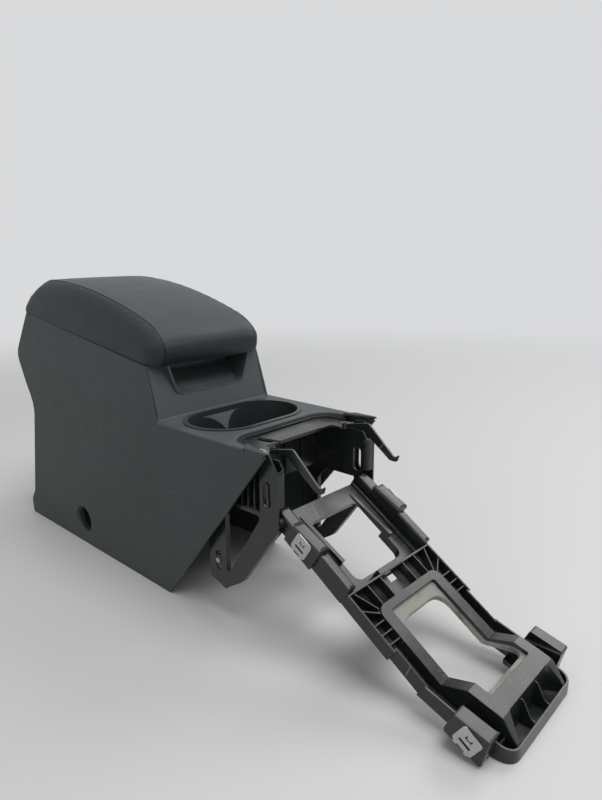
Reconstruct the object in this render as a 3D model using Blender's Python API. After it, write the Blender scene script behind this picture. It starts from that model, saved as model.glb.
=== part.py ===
"""Car centre console: an armrest box with a cup holder deck, and the open carrier in front of it."""
from math import atan2, ceil, cos, pi, radians, sin, sqrt, tan

import bmesh
import bpy
from mathutils import Matrix, Vector

# Frame: metres, +X to the right, -Y towards the front of the car, +Z up, z = 0 is the floor.

# Fits
GAP = 0.0003
LID_GAP = 0.0008
SET_IN = 0.0002

# Body shell
HALF_WIDTH = 0.100
PANEL_WALL = 0.0028
NOSE_Y = 0.0315
REAR_Y = 0.4365
FOOT_HEIGHT = 0.024
HEEL_Y = 0.4225
HEEL_Z = 0.043
WAIST_Y = 0.3875
WAIST_Z = 0.201
BULGE_Y = 0.4370
BULGE_Z = 0.283
RIM_REAR_Y = 0.3915
RIM_FRONT_Y = 0.0605
RIM_FRONT_Z = 0.3055
RIM_SLOPE = 0.1438
FOLD_Y = 0.0415
DECK_Z = 0.237
TIP_Y = -0.1585
TIP_RISE = 0.0016
LEAN = 0.48
ACCESS_Y = 0.2545
ACCESS_Z = 0.0385
ACCESS_RADIUS = 0.0195
ACCESS_COLLAR = 0.004
ACCESS_DEPTH = 0.012

# Cup holder deck and its finger recess
TRIM_WALL = 0.003
HORN_Y = -0.1245
HORN_SET = 0.011
CUTOUT_Y = -0.0795
CUTOUT_HALF = HALF_WIDTH - 0.013
CUTOUT_RADIUS = 0.030
CUTOUT_LIP = 0.0065
CUTOUT_ROUND = 0.0018
RIDGE_RADIUS = 0.0014
RECESS_TOP_HALF = HALF_WIDTH - 0.0285
RECESS_BASE_HALF = RECESS_TOP_HALF - 0.016
RECESS_BASE = 0.028
RECESS_DEPTH = 0.034
RECESS_WALL = 0.0025

# Cup well
CUP_Y = -0.0165
CUP_HALF_LENGTH = HALF_WIDTH - 0.019
CUP_OVERLAP = 0.015
CUP_RADIUS = (CUP_HALF_LENGTH + CUP_OVERLAP) / 2
CUP_WALL = 0.002
CUP_DEPTH = 0.070
CUP_RIM = 0.0055
CUP_RIM_HEIGHT = 0.0013
CUSP_RISE = 1.64
CUP_TOP_DROP = 0.0075

# Bracket under the deck, with its two prongs
LEDGE_DROP = 0.0078
LEDGE_WALL = 0.003
LEDGE_HALF = HALF_WIDTH - 0.017
LEDGE_FRONT_Y = -0.1335
LEDGE_STEP = 0.0035
EAR_WIDTH = 0.024
FLAP_FRONT_Y = -0.1165
FLAP_HALF = LEDGE_HALF - 0.046
FLAP_RISE = 0.0012
PRONG_X = LEDGE_HALF - 0.0145
PRONG_WALL = 0.0026
PRONG_TIP_Y = -0.2125
PRONG_TIP_Z = 0.1995

# Support frame
PLATE_X = HALF_WIDTH - 0.012
PLATE_WALL = 0.0025
INNER_WALL_X = PLATE_X - 0.011
PILLAR_FRONT_Y = -0.1645
PILLAR_REAR_Y = -0.1355
PILLAR_TOP_Z = 0.212
PILLAR_CHAMFER = 0.66
SLOT_Y = -0.147
SLOT_Z = 0.186
SLOT_HALF_WIDTH = 0.0062
SLOT_LENGTH = 0.032
FIN_WALL = 0.0018
FIN_COUNT = 4
FIN_PITCH = 0.0105
BACK_WALL_Y = -0.0700
FRAME_FLOOR_Z = 0.161
FLANGE_TOP_Z = 0.1405
NECK_Y = -0.1535
NECK_Z = 0.173
COLUMN_RADIUS = 0.005
LEG_REAR_Y = -0.0425
LEG_STRIP = 0.030
LEG_TOE_Z = 0.041
LEG_FLANGE = 0.007
LEG_SCREW_Z = 0.076

# Front carrier: S runs up the slope, N away from it
SLOPE = radians(33.2)
CARRIER_Y = -0.2545
CARRIER_Z = 0.1007
CARRIER_WALL = 0.0022
WALL_DEPTH = 0.0155
WALL_HALF = HALF_WIDTH - 0.022
WALL_STEP = 0.0042
APRON_STEP = 0.0022
STEP_S = -0.070
WAIST_S = -0.116
APRON_S = WAIST_S + 0.0034
RAIL_REAR_S = 0.118
PAD_STEP = 0.0055
REAR_CLIP_S = 0.071
REAR_CLIP_N = -0.0010
FRONT_CLIP_S = -0.166
FRONT_CLIP_N = 0.0150
WINDOW_HALF = WALL_HALF - 0.035
WINDOW_FRONT_S = 0.009
WINDOW_REAR_S = 0.094
LEDGE_N = -0.011
RING_HALF = WALL_HALF - 0.0205
RING_BAND = 0.015
RING_REAR_S = -0.0263
RING_REAR_BAND = 0.0095
RING_PLATE = 0.0035
RIB_WALL = 0.0014
SIDE_RIB_S = (-0.0394, -0.0508, -0.062)
BAY_RIB_X = (0.38 * RING_HALF, 0.78 * RING_HALF)
FRONT_TOP_Y = -0.3825
FRONT_TOP_Z = 0.0437
FRONT_SLOPE = 0.28
BAR_REAR_Y = FRONT_TOP_Y - 0.017
BAR_FRONT_Y = BAR_REAR_Y - 0.018
ARM_FRONT_Y = BAR_FRONT_Y - 0.008
LIP_Y = ARM_FRONT_Y - 0.011
LIP_HALF = WALL_HALF - 0.007
LIP_HEIGHT = 0.0125
LIP_RADIUS = 0.014
BOX_INNER = WALL_HALF - 0.0005
BOX_OUTER = WALL_HALF + 0.0135
BOX_ROUND = 0.0018
NOSE_ROUND = 0.0012
GASKET_WALL = 0.0085
GASKET_REACH = 0.0155

# Spring clips
CLIP_SIZE = 0.0225
CLIP_WALL = 0.0009
CLIP_SLOT = 0.0029
CLIP_CUT = 0.0013

# Storage bin
BIN_WALL = 0.0025
BIN_HALF = HALF_WIDTH - 0.0195
BIN_FRONT_Y = 0.099
BIN_BACK_Y = 0.362
BIN_DEPTH = 0.165
BIN_DRAFT = 0.006
MAT_WALL = 0.002

# Lid
LID_FRONT_Y = 0.0600
LID_NOSE = 0.0225
LID_TIP_Y = 0.4015
HINGE_RELIEF = 0.0014
TRAY_LIFT = 0.0022
TRAY_HEIGHT = 0.007
TRAY_HALF = HALF_WIDTH - 0.014
TRAY_RIB = 0.005
SEAM_HALF = HALF_WIDTH - 0.022
SEAM_REAR_Y = 0.3385
SEAM_PEAK_Z = 0.4070
SEAM_FALL = 0.68
SEAM_DROP = 1.5
CROWN = 0.003

# Hinge
HINGE_Y = 0.3923
HINGE_Z = 0.3506
PIN_RADIUS = 0.0014
BARREL_RADIUS = 0.0030
LEAF_WALL = 0.0012
LEAF_LENGTH = 0.031
HINGE_HALF = HALF_WIDTH - 0.040
KNUCKLE_SPLIT = 0.4 * HINGE_HALF
SCREW_RADIUS = 0.0016
SCREW_HEAD = 0.0034


def clear_scene():
    for item in list(bpy.data.objects):
        bpy.data.objects.remove(item, do_unlink=True)


def plastic(name, colour, roughness, metallic=0.0):
    material = bpy.data.materials.new(name)
    material.use_nodes = True
    shader = material.node_tree.nodes["Principled BSDF"]
    shader.inputs["Base Color"].default_value = (*colour, 1.0)
    shader.inputs["Roughness"].default_value = roughness
    shader.inputs["Metallic"].default_value = metallic
    return material


# Outlines

def rounded(corners, step=radians(18)):
    """Closed outline through corners (u, v, radius), with an arc at each corner that has a radius."""
    points = []
    count = len(corners)
    for index, (u, v, radius) in enumerate(corners):
        corner = Vector((u, v))
        before = (Vector(corners[index - 1][:2]) - corner).normalized()
        after = (Vector(corners[(index + 1) % count][:2]) - corner).normalized()
        opening = before.angle(after)
        if radius <= 0.0 or opening > pi - 0.01:
            points.append(corner)
            continue
        reach = radius / tan(opening / 2)
        centre = corner + (before + after).normalized() * (radius / sin(opening / 2))
        start = corner + before * reach - centre
        finish = corner + after * reach - centre
        first = atan2(start.y, start.x)
        sweep = (atan2(finish.y, finish.x) - first + pi) % (2 * pi) - pi
        parts = max(2, ceil(abs(sweep) / step))
        for part in range(parts + 1):
            angle = first + sweep * part / parts
            points.append(centre + radius * Vector((cos(angle), sin(angle))))
    spread = [point for index, point in enumerate(points) if (point - points[index - 1]).length > 1e-5]
    return [(point.x, point.y) for point in spread]


def offset(corners, distance):
    """Corners moved outwards by a distance (inwards if it is negative), with their radii kept parallel."""
    count = len(corners)
    area = sum(corners[i - 1][0] * corners[i][1] - corners[i][0] * corners[i - 1][1] for i in range(count))
    hand = 1.0 if area > 0 else -1.0
    moved = []
    for index, (u, v, radius) in enumerate(corners):
        corner = Vector((u, v))
        into = (corner - Vector(corners[index - 1][:2])).normalized()
        out = (Vector(corners[(index + 1) % count][:2]) - corner).normalized()
        side_in = Vector((into.y, -into.x)) * hand
        side_out = Vector((out.y, -out.x)) * hand
        bisector = (side_in + side_out).normalized()
        place = corner + bisector * distance / max(0.2, bisector.dot(side_in))
        convex = into.cross(out) * hand > 0
        new_radius = radius + distance if convex else radius - distance
        moved.append((place.x, place.y, max(new_radius, 0.0) if radius > 0 else 0.0))
    return moved


def rectangle(left, right, low, high, radius=0.0):
    return [(left, low, radius), (right, low, radius), (right, high, radius), (left, high, radius)]


def mirrored(half):
    """Whole outline from its right half, which starts and ends on the centre line."""
    return half + [(-u, v, radius) for u, v, radius in reversed(half) if abs(u) > 1e-6]


# Solids

def to_object(shape, name="piece"):
    mesh = bpy.data.meshes.new(name)
    bmesh.ops.recalc_face_normals(shape, faces=shape.faces)
    shape.to_mesh(mesh)
    shape.free()
    item = bpy.data.objects.new(name, mesh)
    bpy.context.scene.collection.objects.link(item)
    return item


def prism(corners, axis, low, high, step=radians(18)):
    """Closed outline extruded along X with (y, z) pairs, along Y with (x, z) or along Z with (x, y)."""
    places = {
        "X": lambda u, v, w: (w, u, v),
        "Y": lambda u, v, w: (u, w, v),
        "Z": lambda u, v, w: (u, v, w),
    }
    place = places[axis]
    shape = bmesh.new()
    ring = [shape.verts.new(place(u, v, low)) for u, v in rounded(corners, step)]
    face = shape.faces.new(ring)
    extruded = bmesh.ops.extrude_face_region(shape, geom=[face])
    top = [part for part in extruded["geom"] if isinstance(part, bmesh.types.BMVert)]
    bmesh.ops.translate(shape, verts=top, vec=place(0.0, 0.0, high - low))
    return to_object(shape)


def block(x, y, z):
    return prism(rectangle(x[0], x[1], y[0], y[1]), "Z", z[0], z[1])


def cylinder(axis, centre, radius, low, high, sides=24):
    step = 2 * pi / sides
    return prism(rectangle(centre[0] - radius, centre[0] + radius, centre[1] - radius,
                           centre[1] + radius, radius), axis, low, high, step)


def loft(rings):
    """Closed solid through rings of equal length, with a flat cap on the first and the last."""
    shape = bmesh.new()
    loops = [[shape.verts.new(point) for point in ring] for ring in rings]
    count = len(loops[0])
    for lower, upper in zip(loops, loops[1:]):
        for index in range(count):
            after = (index + 1) % count
            shape.faces.new((lower[index], lower[after], upper[after], upper[index]))
    shape.faces.new(loops[0])
    shape.faces.new(loops[-1])
    return to_object(shape)


def move(item, matrix):
    item.data.transform(matrix)
    if matrix.determinant() < 0:
        item.data.flip_normals()
    return item


def combine(base, tools, operation):
    for tool in tools:
        modifier = base.modifiers.new("shape", "BOOLEAN")
        modifier.operation = operation
        modifier.object = tool
        evaluated = base.evaluated_get(bpy.context.evaluated_depsgraph_get())
        mesh = bpy.data.meshes.new_from_object(evaluated)
        base.modifiers.clear()
        base.data = mesh
        bpy.data.objects.remove(tool, do_unlink=True)
    return base


def unite(base, *tools):
    return combine(base, tools, "UNION")


def cut(base, *tools):
    return combine(base, tools, "DIFFERENCE")


def keep(base, tool):
    return combine(base, [tool], "INTERSECT")


def round_edges(item, radius, chosen, segments=2):
    """Round the sharp edges that a test picks by their middle point and direction."""
    shape = bmesh.new()
    shape.from_mesh(item.data)
    edges = []
    for edge in shape.edges:
        first, last = (vertex.co for vertex in edge.verts)
        sharp = edge.is_manifold and edge.calc_face_angle(0.0) > radians(40)
        if sharp and chosen((first + last) / 2, (last - first).normalized()):
            edges.append(edge)
    bmesh.ops.bevel(shape, geom=edges, offset=radius, segments=segments, affect="EDGES", profile=0.5)
    bmesh.ops.remove_doubles(shape, verts=shape.verts, dist=1e-5)
    shape.to_mesh(item.data)
    shape.free()
    return item


def finish(item, name, material):
    shape = bmesh.new()
    shape.from_mesh(item.data)
    bmesh.ops.remove_doubles(shape, verts=shape.verts, dist=2e-5)
    shape.to_mesh(item.data)
    shape.free()
    item.name = name
    item.data.name = name
    item.data.materials.clear()
    item.data.materials.append(material)
    item.data.shade_smooth()
    item.data.set_sharp_from_angle(angle=radians(32))
    return item


def both_sides(maker):
    """The same piece made on the right and on the left."""
    return [move(maker(), Matrix.Scale(side, 4, (1, 0, 0))) for side in (1, -1)]


# Shared lines of the body

def rim_z(y):
    """Height of the parting line between the body and the lid."""
    return RIM_FRONT_Z + RIM_SLOPE * (y - RIM_FRONT_Y)


RIM_FRAME = Matrix.Translation((0, RIM_FRONT_Y, RIM_FRONT_Z)) @ Matrix.Rotation(atan2(RIM_SLOPE, 1), 4, "X")


def along_rim(y):
    """Distance up the parting line at a given y."""
    return (y - RIM_FRONT_Y) / cos(atan2(RIM_SLOPE, 1))


def lean(item):
    """Narrow the piece towards its top, above the deck, as the body's sides lean in."""
    shape = bmesh.new()
    shape.from_mesh(item.data)
    geometry = list(shape.verts) + list(shape.edges) + list(shape.faces)
    bmesh.ops.bisect_plane(shape, geom=geometry, dist=1e-7, plane_co=(0, 0, DECK_Z), plane_no=(0, 0, 1))
    for vertex in shape.verts:
        vertex.co.x *= 1.0 - LEAN * max(0.0, vertex.co.z - DECK_Z)
    shape.to_mesh(item.data)
    shape.free()
    return item


def face_y(z):
    """The slanted face above the deck."""
    return FOLD_Y + (RIM_FRONT_Y - FOLD_Y) * (z - DECK_Z) / (RIM_FRONT_Z - DECK_Z)


def rear_line():
    """Rear outline of the body, from the floor to the rim."""
    return [
        (REAR_Y - 0.001, 0.0, 0.004),
        (REAR_Y, FOOT_HEIGHT, 0.010),
        (HEEL_Y, HEEL_Z, 0.010),
        (WAIST_Y, WAIST_Z, 0.045),
        (BULGE_Y, BULGE_Z, 0.022),
        (RIM_REAR_Y, rim_z(RIM_REAR_Y), 0.002),
    ]


def side_outline():
    panel_deck = DECK_Z - TRIM_WALL - GAP
    return [
        (NOSE_Y, 0.0, 0.003),
        *rear_line(),
        (RIM_FRONT_Y, RIM_FRONT_Z, 0.002),
        (face_y(panel_deck), panel_deck, 0.0),
        (HORN_Y, panel_deck, 0.0),
        (TIP_Y + 0.001, panel_deck, 0.0),
    ]


def front_edge_y(z):
    """Slanted front edge of the side panel."""
    return NOSE_Y + (TIP_Y - NOSE_Y) * z / (DECK_Z + TIP_RISE)


# Body shell

def side_panel(side):
    """Moulded side skin with its access hole and the flange that carries the deck past its horns."""
    panel = prism(side_outline(), "X", HALF_WIDTH - PANEL_WALL, HALF_WIDTH)
    flange_top = DECK_Z + TIP_RISE
    corner = GAP * 1.5
    plan = [
        (HALF_WIDTH, HORN_Y - corner, 0.0),
        (CUTOUT_HALF, HORN_Y + HORN_SET - corner, 0.0),
        (CUTOUT_HALF, HORN_Y + 0.003, 0.004),
        (HALF_WIDTH - PANEL_WALL, TIP_Y + 0.0015, 0.001),
        (HALF_WIDTH, TIP_Y, 0.0),
    ]
    flange = prism(plan, "Z", flange_top - PANEL_WALL + 0.0004, flange_top)
    web = prism([
        (HORN_Y - corner, DECK_Z - 2 * TRIM_WALL, 0.0),
        (HORN_Y - corner, flange_top - 0.0005, 0.0),
        (TIP_Y + 0.0002, flange_top - 0.0005, 0.0),
        (front_edge_y(DECK_Z - 2 * TRIM_WALL), DECK_Z - 2 * TRIM_WALL, 0.0),
    ], "X", HALF_WIDTH - PANEL_WALL + 0.0001, HALF_WIDTH)
    collar = cylinder("X", (ACCESS_Y, ACCESS_Z), ACCESS_RADIUS + ACCESS_COLLAR,
                      HALF_WIDTH - ACCESS_DEPTH, HALF_WIDTH - 0.001, 32)
    dish = loft([
        circle_x(HALF_WIDTH + 0.001, ACCESS_RADIUS + ACCESS_COLLAR * 0.75),
        circle_x(HALF_WIDTH - ACCESS_DEPTH * 0.35, ACCESS_RADIUS),
        circle_x(HALF_WIDTH - ACCESS_DEPTH - 0.001, ACCESS_RADIUS),
    ])
    unite(panel, web, flange, collar)
    cut(panel, dish)
    lean(panel)
    return move(panel, Matrix.Scale(side, 4, (1, 0, 0)))


def circle_x(x, radius, sides=32):
    angles = [2 * pi * index / sides for index in range(sides)]
    return [(x, ACCESS_Y + radius * cos(angle), ACCESS_Z + radius * sin(angle)) for angle in angles]


def rear_panel():
    """Rear skin between the side panels, notched at its top edge for the hinge."""
    inner = HALF_WIDTH - PANEL_WALL - GAP
    outer_line = rear_line()
    front = [(WAIST_Y - 0.05, rim_z(WAIST_Y - 0.05), 0.0), (WAIST_Y - 0.05, 0.0, 0.0)]
    whole = outer_line + front
    shell = prism(whole, "X", -inner, inner)
    cavity = prism(offset(whole, -PANEL_WALL), "X", -inner - 0.01, inner + 0.01)
    front_space = block((-0.2, 0.2), (0.2, WAIST_Y - 0.05 + 2 * PANEL_WALL), (-0.1, 0.5))
    floor_space = block((-0.2, 0.2), (0.2, HEEL_Y), (-0.1, HEEL_Z / 3))
    rim_space = move(block((-0.2, 0.2), (-0.1, along_rim(RIM_REAR_Y) - 0.004), (-0.006, 0.05)), RIM_FRAME)
    notch = block((-HINGE_HALF - 0.0015, HINGE_HALF + 0.0015), (HINGE_Y - 0.03, HINGE_Y + 0.03),
                  (HINGE_Z - BARREL_RADIUS - 0.0025, HINGE_Z + 0.05))
    cut(shell, cavity, front_space, floor_space, rim_space)
    return cut(lean(shell), notch)


# Deck

def cutout_corners(grow=0.0):
    return offset([
        (-CUTOUT_HALF, CUTOUT_Y - 0.2, 0.0),
        (CUTOUT_HALF, CUTOUT_Y - 0.2, 0.0),
        (CUTOUT_HALF, CUTOUT_Y, CUTOUT_RADIUS),
        (-CUTOUT_HALF, CUTOUT_Y, CUTOUT_RADIUS),
    ], grow)


def on_cutout_edge(middle, along):
    """True for the top edges that run round the cut-out of the deck."""
    inside = abs(middle.x) < CUTOUT_HALF + 0.0005 and HORN_Y + HORN_SET < middle.y < CUTOUT_Y + 0.0005
    return inside and middle.z > DECK_Z - 0.0001 and abs(along.z) < 0.01


def recess_cavity(grow):
    """Scooped space under the front of the lid, grown by the thickness of its shell."""
    lift = RIM_FRONT_Z - DECK_Z
    base_z = DECK_Z + RECESS_BASE - grow
    front_y = face_y(base_z) - (0.012 if grow == 0.0 else 0.0)
    back_y = RIM_FRONT_Y + RECESS_DEPTH + grow
    profile = [
        (front_y, base_z, 0.0),
        (face_y(base_z) + 0.010 + grow, base_z, 0.012 + grow),
        (back_y - 0.002, DECK_Z + lift * 0.78 - grow, 0.010 + grow),
        (back_y, RIM_FRONT_Z + 0.03, 0.0),
        (front_y, RIM_FRONT_Z + 0.03, 0.0),
    ]
    scoop = prism(profile, "X", -HALF_WIDTH, HALF_WIDTH, radians(12))
    width = (RECESS_TOP_HALF - RECESS_BASE_HALF) / (lift - RECESS_BASE)
    top_z = RIM_FRONT_Z + 0.03
    window = mirrored([
        (0.0, base_z, 0.0),
        (RECESS_BASE_HALF + grow, base_z, 0.012 + grow),
        (RECESS_TOP_HALF + width * (top_z - RIM_FRONT_Z) + grow, top_z, 0.0),
        (0.0, top_z, 0.0),
    ])
    return keep(scoop, prism(window, "Y", 0.0, 0.2, radians(15)))


def cupholder_trim():
    """Deck and slanted face in one moulding, with the finger recess let into the face."""
    inner = HALF_WIDTH - PANEL_WALL - GAP
    deck_low = DECK_Z - TRIM_WALL
    plan = mirrored([
        (0.0, FOLD_Y + TRIM_WALL, 0.0),
        (inner, FOLD_Y + TRIM_WALL, 0.0),
        (inner, FOLD_Y - 0.001, 0.0),
        (HALF_WIDTH, FOLD_Y - 0.001, 0.001),
        (HALF_WIDTH, HORN_Y, 0.001),
        (CUTOUT_HALF - 0.004, HORN_Y + HORN_SET * 1.35, 0.0),
        (0.0, HORN_Y + HORN_SET * 1.35, 0.0),
    ])
    trim = prism(plan, "Z", deck_low, DECK_Z)
    lip_plan = offset(cutout_corners(), TRIM_WALL)
    lip = prism(lip_plan, "Z", DECK_Z - CUTOUT_LIP, DECK_Z - 0.0005)
    lip = keep(lip, prism(offset(plan, -0.002), "Z", 0.1, 0.3))
    face = prism([
        (FOLD_Y, deck_low + 0.0005, 0.0),
        (FOLD_Y + TRIM_WALL, deck_low + 0.0005, 0.0),
        (RIM_FRONT_Y + TRIM_WALL, RIM_FRONT_Z, 0.0),
        (RIM_FRONT_Y, RIM_FRONT_Z, 0.0),
        (face_y(DECK_Z), DECK_Z, 0.0),
    ], "X", -inner, inner)
    flange = prism([
        (RIM_FRONT_Y + 0.001, rim_z(RIM_FRONT_Y + 0.001) - 0.0003, 0.0),
        (RIM_FRONT_Y + 0.001, rim_z(RIM_FRONT_Y + 0.001) - TRIM_WALL, 0.0),
        (BIN_FRONT_Y - 0.008, rim_z(BIN_FRONT_Y - 0.008) - TRIM_WALL, 0.0),
        (BIN_FRONT_Y - 0.008, rim_z(BIN_FRONT_Y - 0.008) - 0.0003, 0.0),
    ], "X", -inner, inner)
    ridge = cylinder("X", (FOLD_Y - 0.0004, DECK_Z), RIDGE_RADIUS, -inner + 0.001, inner - 0.001, 12)
    pocket = keep(recess_cavity(RECESS_WALL), block((-0.2, 0.2), (0.0, 0.2), (0.2, RIM_FRONT_Z - 0.0005)))
    unite(trim, face, flange, pocket, ridge, lip)
    cut(trim, recess_cavity(0.0), prism(cutout_corners(), "Z", 0.1, 0.3), cup_opening(CUP_WALL + GAP))
    round_edges(trim, CUTOUT_ROUND, on_cutout_edge)
    return lean(trim)


# Cup well

def stadium(grow=0.0):
    radius = CUP_RADIUS + grow
    return rectangle(-CUP_HALF_LENGTH - grow, CUP_HALF_LENGTH + grow, CUP_Y - radius, CUP_Y + radius,
                     radius)


def cup_opening(grow, low=0.1, high=0.3):
    return prism(stadium(grow), "Z", low, high, radians(12))


def cup_well():
    """Tub of two round wells that run into each other, with a sloped cusp on either side between them."""
    top = DECK_Z + GAP + CUP_RIM_HEIGHT
    floor = top - CUP_DEPTH
    tub = cup_opening(CUP_WALL, floor - CUP_WALL, top)
    rim = prism(stadium(CUP_RIM), "Z", DECK_Z + GAP, top, radians(12))
    unite(tub, rim)
    centre = CUP_HALF_LENGTH - CUP_RADIUS
    reach = sqrt(CUP_RADIUS ** 2 - centre ** 2)
    side = CUP_RADIUS + 0.001
    high = top - CUP_TOP_DROP + 0.001 * CUSP_RISE
    low = top - CUP_TOP_DROP - (CUP_RADIUS - reach) * CUSP_RISE
    trough = prism([
        (CUP_Y - side, top + 0.01, 0.0),
        (CUP_Y - side, high, 0.0),
        (CUP_Y - reach, low, 0.0),
        (CUP_Y + reach, low, 0.0),
        (CUP_Y + side, high, 0.0),
        (CUP_Y + side, top + 0.01, 0.0),
    ], "X", -centre, centre)
    wells = [cylinder("Z", (x, CUP_Y), CUP_RADIUS, floor, top + 0.01, 30) for x in (-centre, centre)]
    return cut(tub, *wells, keep(trough, cup_opening(0.0)))


# Bracket under the deck

def trim_bracket():
    """Ledge that shows in the cut-out, with its raised flap, its sockets and a prong on each side."""
    top = DECK_Z - LEDGE_DROP
    rear_y = CUTOUT_Y + 0.0075
    ear = LEDGE_HALF - EAR_WIDTH
    plan = mirrored([
        (0.0, rear_y, 0.0),
        (LEDGE_HALF, rear_y, 0.0),
        (LEDGE_HALF, LEDGE_FRONT_Y, 0.003),
        (ear, LEDGE_FRONT_Y, 0.003),
        (ear, FLAP_FRONT_Y, 0.003),
        (0.0, FLAP_FRONT_Y, 0.0),
    ])
    bracket = prism(plan, "Z", top - LEDGE_WALL, top)
    upstand_top = DECK_Z - TRIM_WALL - GAP
    upstand = block((-LEDGE_HALF + 0.012, LEDGE_HALF - 0.012), (rear_y - 0.002, rear_y),
                    (top - 0.001, upstand_top))
    shelf = prism(cutout_corners(-2 * GAP), "Z", top - 0.001, top + LEDGE_STEP)
    cut(shelf, prism(cutout_corners(-2 * GAP - LEDGE_STEP), "Z", 0.1, 0.3),
        block((-0.2, 0.2), (-0.4, LEDGE_FRONT_Y + 0.014), (0.1, 0.3)))
    flap = prism(mirrored([
        (0.0, CUTOUT_Y - 0.006, 0.0),
        (FLAP_HALF + 0.006, CUTOUT_Y - 0.006, 0.002),
        (FLAP_HALF, FLAP_FRONT_Y - 0.0015, 0.003),
        (0.0, FLAP_FRONT_Y - 0.0015, 0.0),
    ]), "Z", top - LEDGE_WALL, top + FLAP_RISE)
    unite(bracket, upstand, shelf, flap)
    pocket = prism([
        (-FLAP_HALF - 0.0015, FLAP_FRONT_Y + 0.004, 0.001),
        (-FLAP_HALF - 0.0095, FLAP_FRONT_Y + 0.004, 0.002),
        (-FLAP_HALF - 0.0135, CUTOUT_Y - 0.010, 0.003),
        (-FLAP_HALF - 0.0080, CUTOUT_Y - 0.010, 0.001),
    ], "Z", 0.1, 0.3)
    cut(bracket, pocket)
    for prong in both_sides(prong_blade):
        unite(bracket, prong)
    for socket in both_sides(lambda: cylinder("Z", SOCKET_PLACE, 0.0032, top - LEDGE_WALL, top + 0.0045, 16)):
        unite(bracket, socket)
    for bore in both_sides(lambda: cylinder("Z", SOCKET_PLACE, 0.0019, top - 0.001, top + 0.01, 12)):
        cut(bracket, bore)
    return bracket


SOCKET_PLACE = (PRONG_X - 0.0040, LEDGE_FRONT_Y - 0.0005)


def prong_blade():
    """Tapered upright blade that reaches over the front of the ledge and hooks up at its tip."""
    low = DECK_Z - LEDGE_DROP - LEDGE_WALL
    outline = [
        (LEDGE_FRONT_Y + 0.004, low, 0.0),
        (LEDGE_FRONT_Y + 0.004, low + LEDGE_WALL + 0.001, 0.001),
        (LEDGE_FRONT_Y - 0.016, DECK_Z - 0.0022, 0.010),
        (LEDGE_FRONT_Y - 0.036, DECK_Z + 0.0020, 0.006),
        (PRONG_TIP_Y + 0.003, PRONG_TIP_Z + 0.0028, 0.004),
        (PRONG_TIP_Y - 0.0015, PRONG_TIP_Z + 0.0075, 0.0),
        (PRONG_TIP_Y - 0.0025, PRONG_TIP_Z + 0.0060, 0.0),
        (PRONG_TIP_Y, PRONG_TIP_Z - 0.0012, 0.003),
        (PRONG_TIP_Y + 0.010, PRONG_TIP_Z - 0.0010, 0.006),
        (LEDGE_FRONT_Y - 0.0245, low + 0.0045, 0.008),
    ]
    return prism(outline, "X", PRONG_X - PRONG_WALL / 2, PRONG_X + PRONG_WALL / 2)


def trim_clip(side):
    """Folded spring nut pushed over the front of the ledge."""
    top = DECK_Z - LEDGE_DROP
    low = top - LEDGE_WALL
    front = LEDGE_FRONT_Y
    wall = CLIP_WALL
    profile = [
        (front + 0.011, top + GAP, 0.0),
        (front + 0.011, top + GAP + wall, 0.0),
        (front + 0.002, top + GAP + wall, 0.0),
        (front - 0.0035, top + GAP + wall + 0.001, 0.0),
        (front - 0.0035, top + 0.0008, 0.0),
        (front - GAP - wall, top, 0.0),
        (front - GAP - wall, low - GAP - wall, 0.0),
        (front + 0.011, low - GAP - wall, 0.0),
        (front + 0.011, low - GAP, 0.0),
        (front - GAP, low - GAP, 0.0),
        (front - GAP, top + GAP, 0.0),
    ]
    middle = LEDGE_HALF - 0.0068
    clip = prism(profile, "X", middle - 0.0052, middle + 0.0052)
    cut(clip, cylinder("Z", (middle, front + 0.0055), 0.0022, 0.2, 0.3, 12))
    return move(clip, Matrix.Scale(side, 4, (1, 0, 0)))


# Support frame

def leg_outline():
    rear = LEG_REAR_Y
    strip_front = rear - LEG_STRIP
    return [
        (PILLAR_FRONT_Y, SLOT_Z, 0.0),
        (PILLAR_FRONT_Y, 0.1465, 0.003),
        (strip_front - 0.030, LEG_TOE_Z + 0.021, 0.020),
        (strip_front - 0.004, LEG_TOE_Z + 0.0045, 0.006),
        (strip_front + 0.001, LEG_TOE_Z, 0.002),
        (rear, LEG_TOE_Z + 0.0095, 0.004),
        (rear, SLOT_Z, 0.0),
    ]


def leg_window():
    rear = LEG_REAR_Y - LEG_STRIP
    return [
        (PILLAR_FRONT_Y + 0.027, 0.157, 0.004),
        (rear - 0.014, 0.157, 0.004),
        (rear - 0.002, 0.1425, 0.003),
        (rear - 0.002, LEG_TOE_Z + 0.022, 0.002),
        (rear - 0.008, LEG_TOE_Z + 0.028, 0.002),
    ]


def plate_outline(top):
    """Side plate: pillar, rear strip and leg, open above the floor between pillar and strip."""
    strip_front = LEG_REAR_Y - LEG_STRIP
    return [
        (PILLAR_FRONT_Y, PILLAR_TOP_Z, 0.0),
        *leg_outline()[1:6],
        (LEG_REAR_Y, top, 0.0),
        (strip_front, top, 0.0),
        (strip_front, FRAME_FLOOR_Z, 0.0),
        (PILLAR_REAR_Y, FRAME_FLOOR_Z, 0.0),
        (PILLAR_REAR_Y, top, 0.0),
        (PILLAR_FRONT_Y + (top - PILLAR_TOP_Z) * PILLAR_CHAMFER, top, 0.0),
    ]


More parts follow.
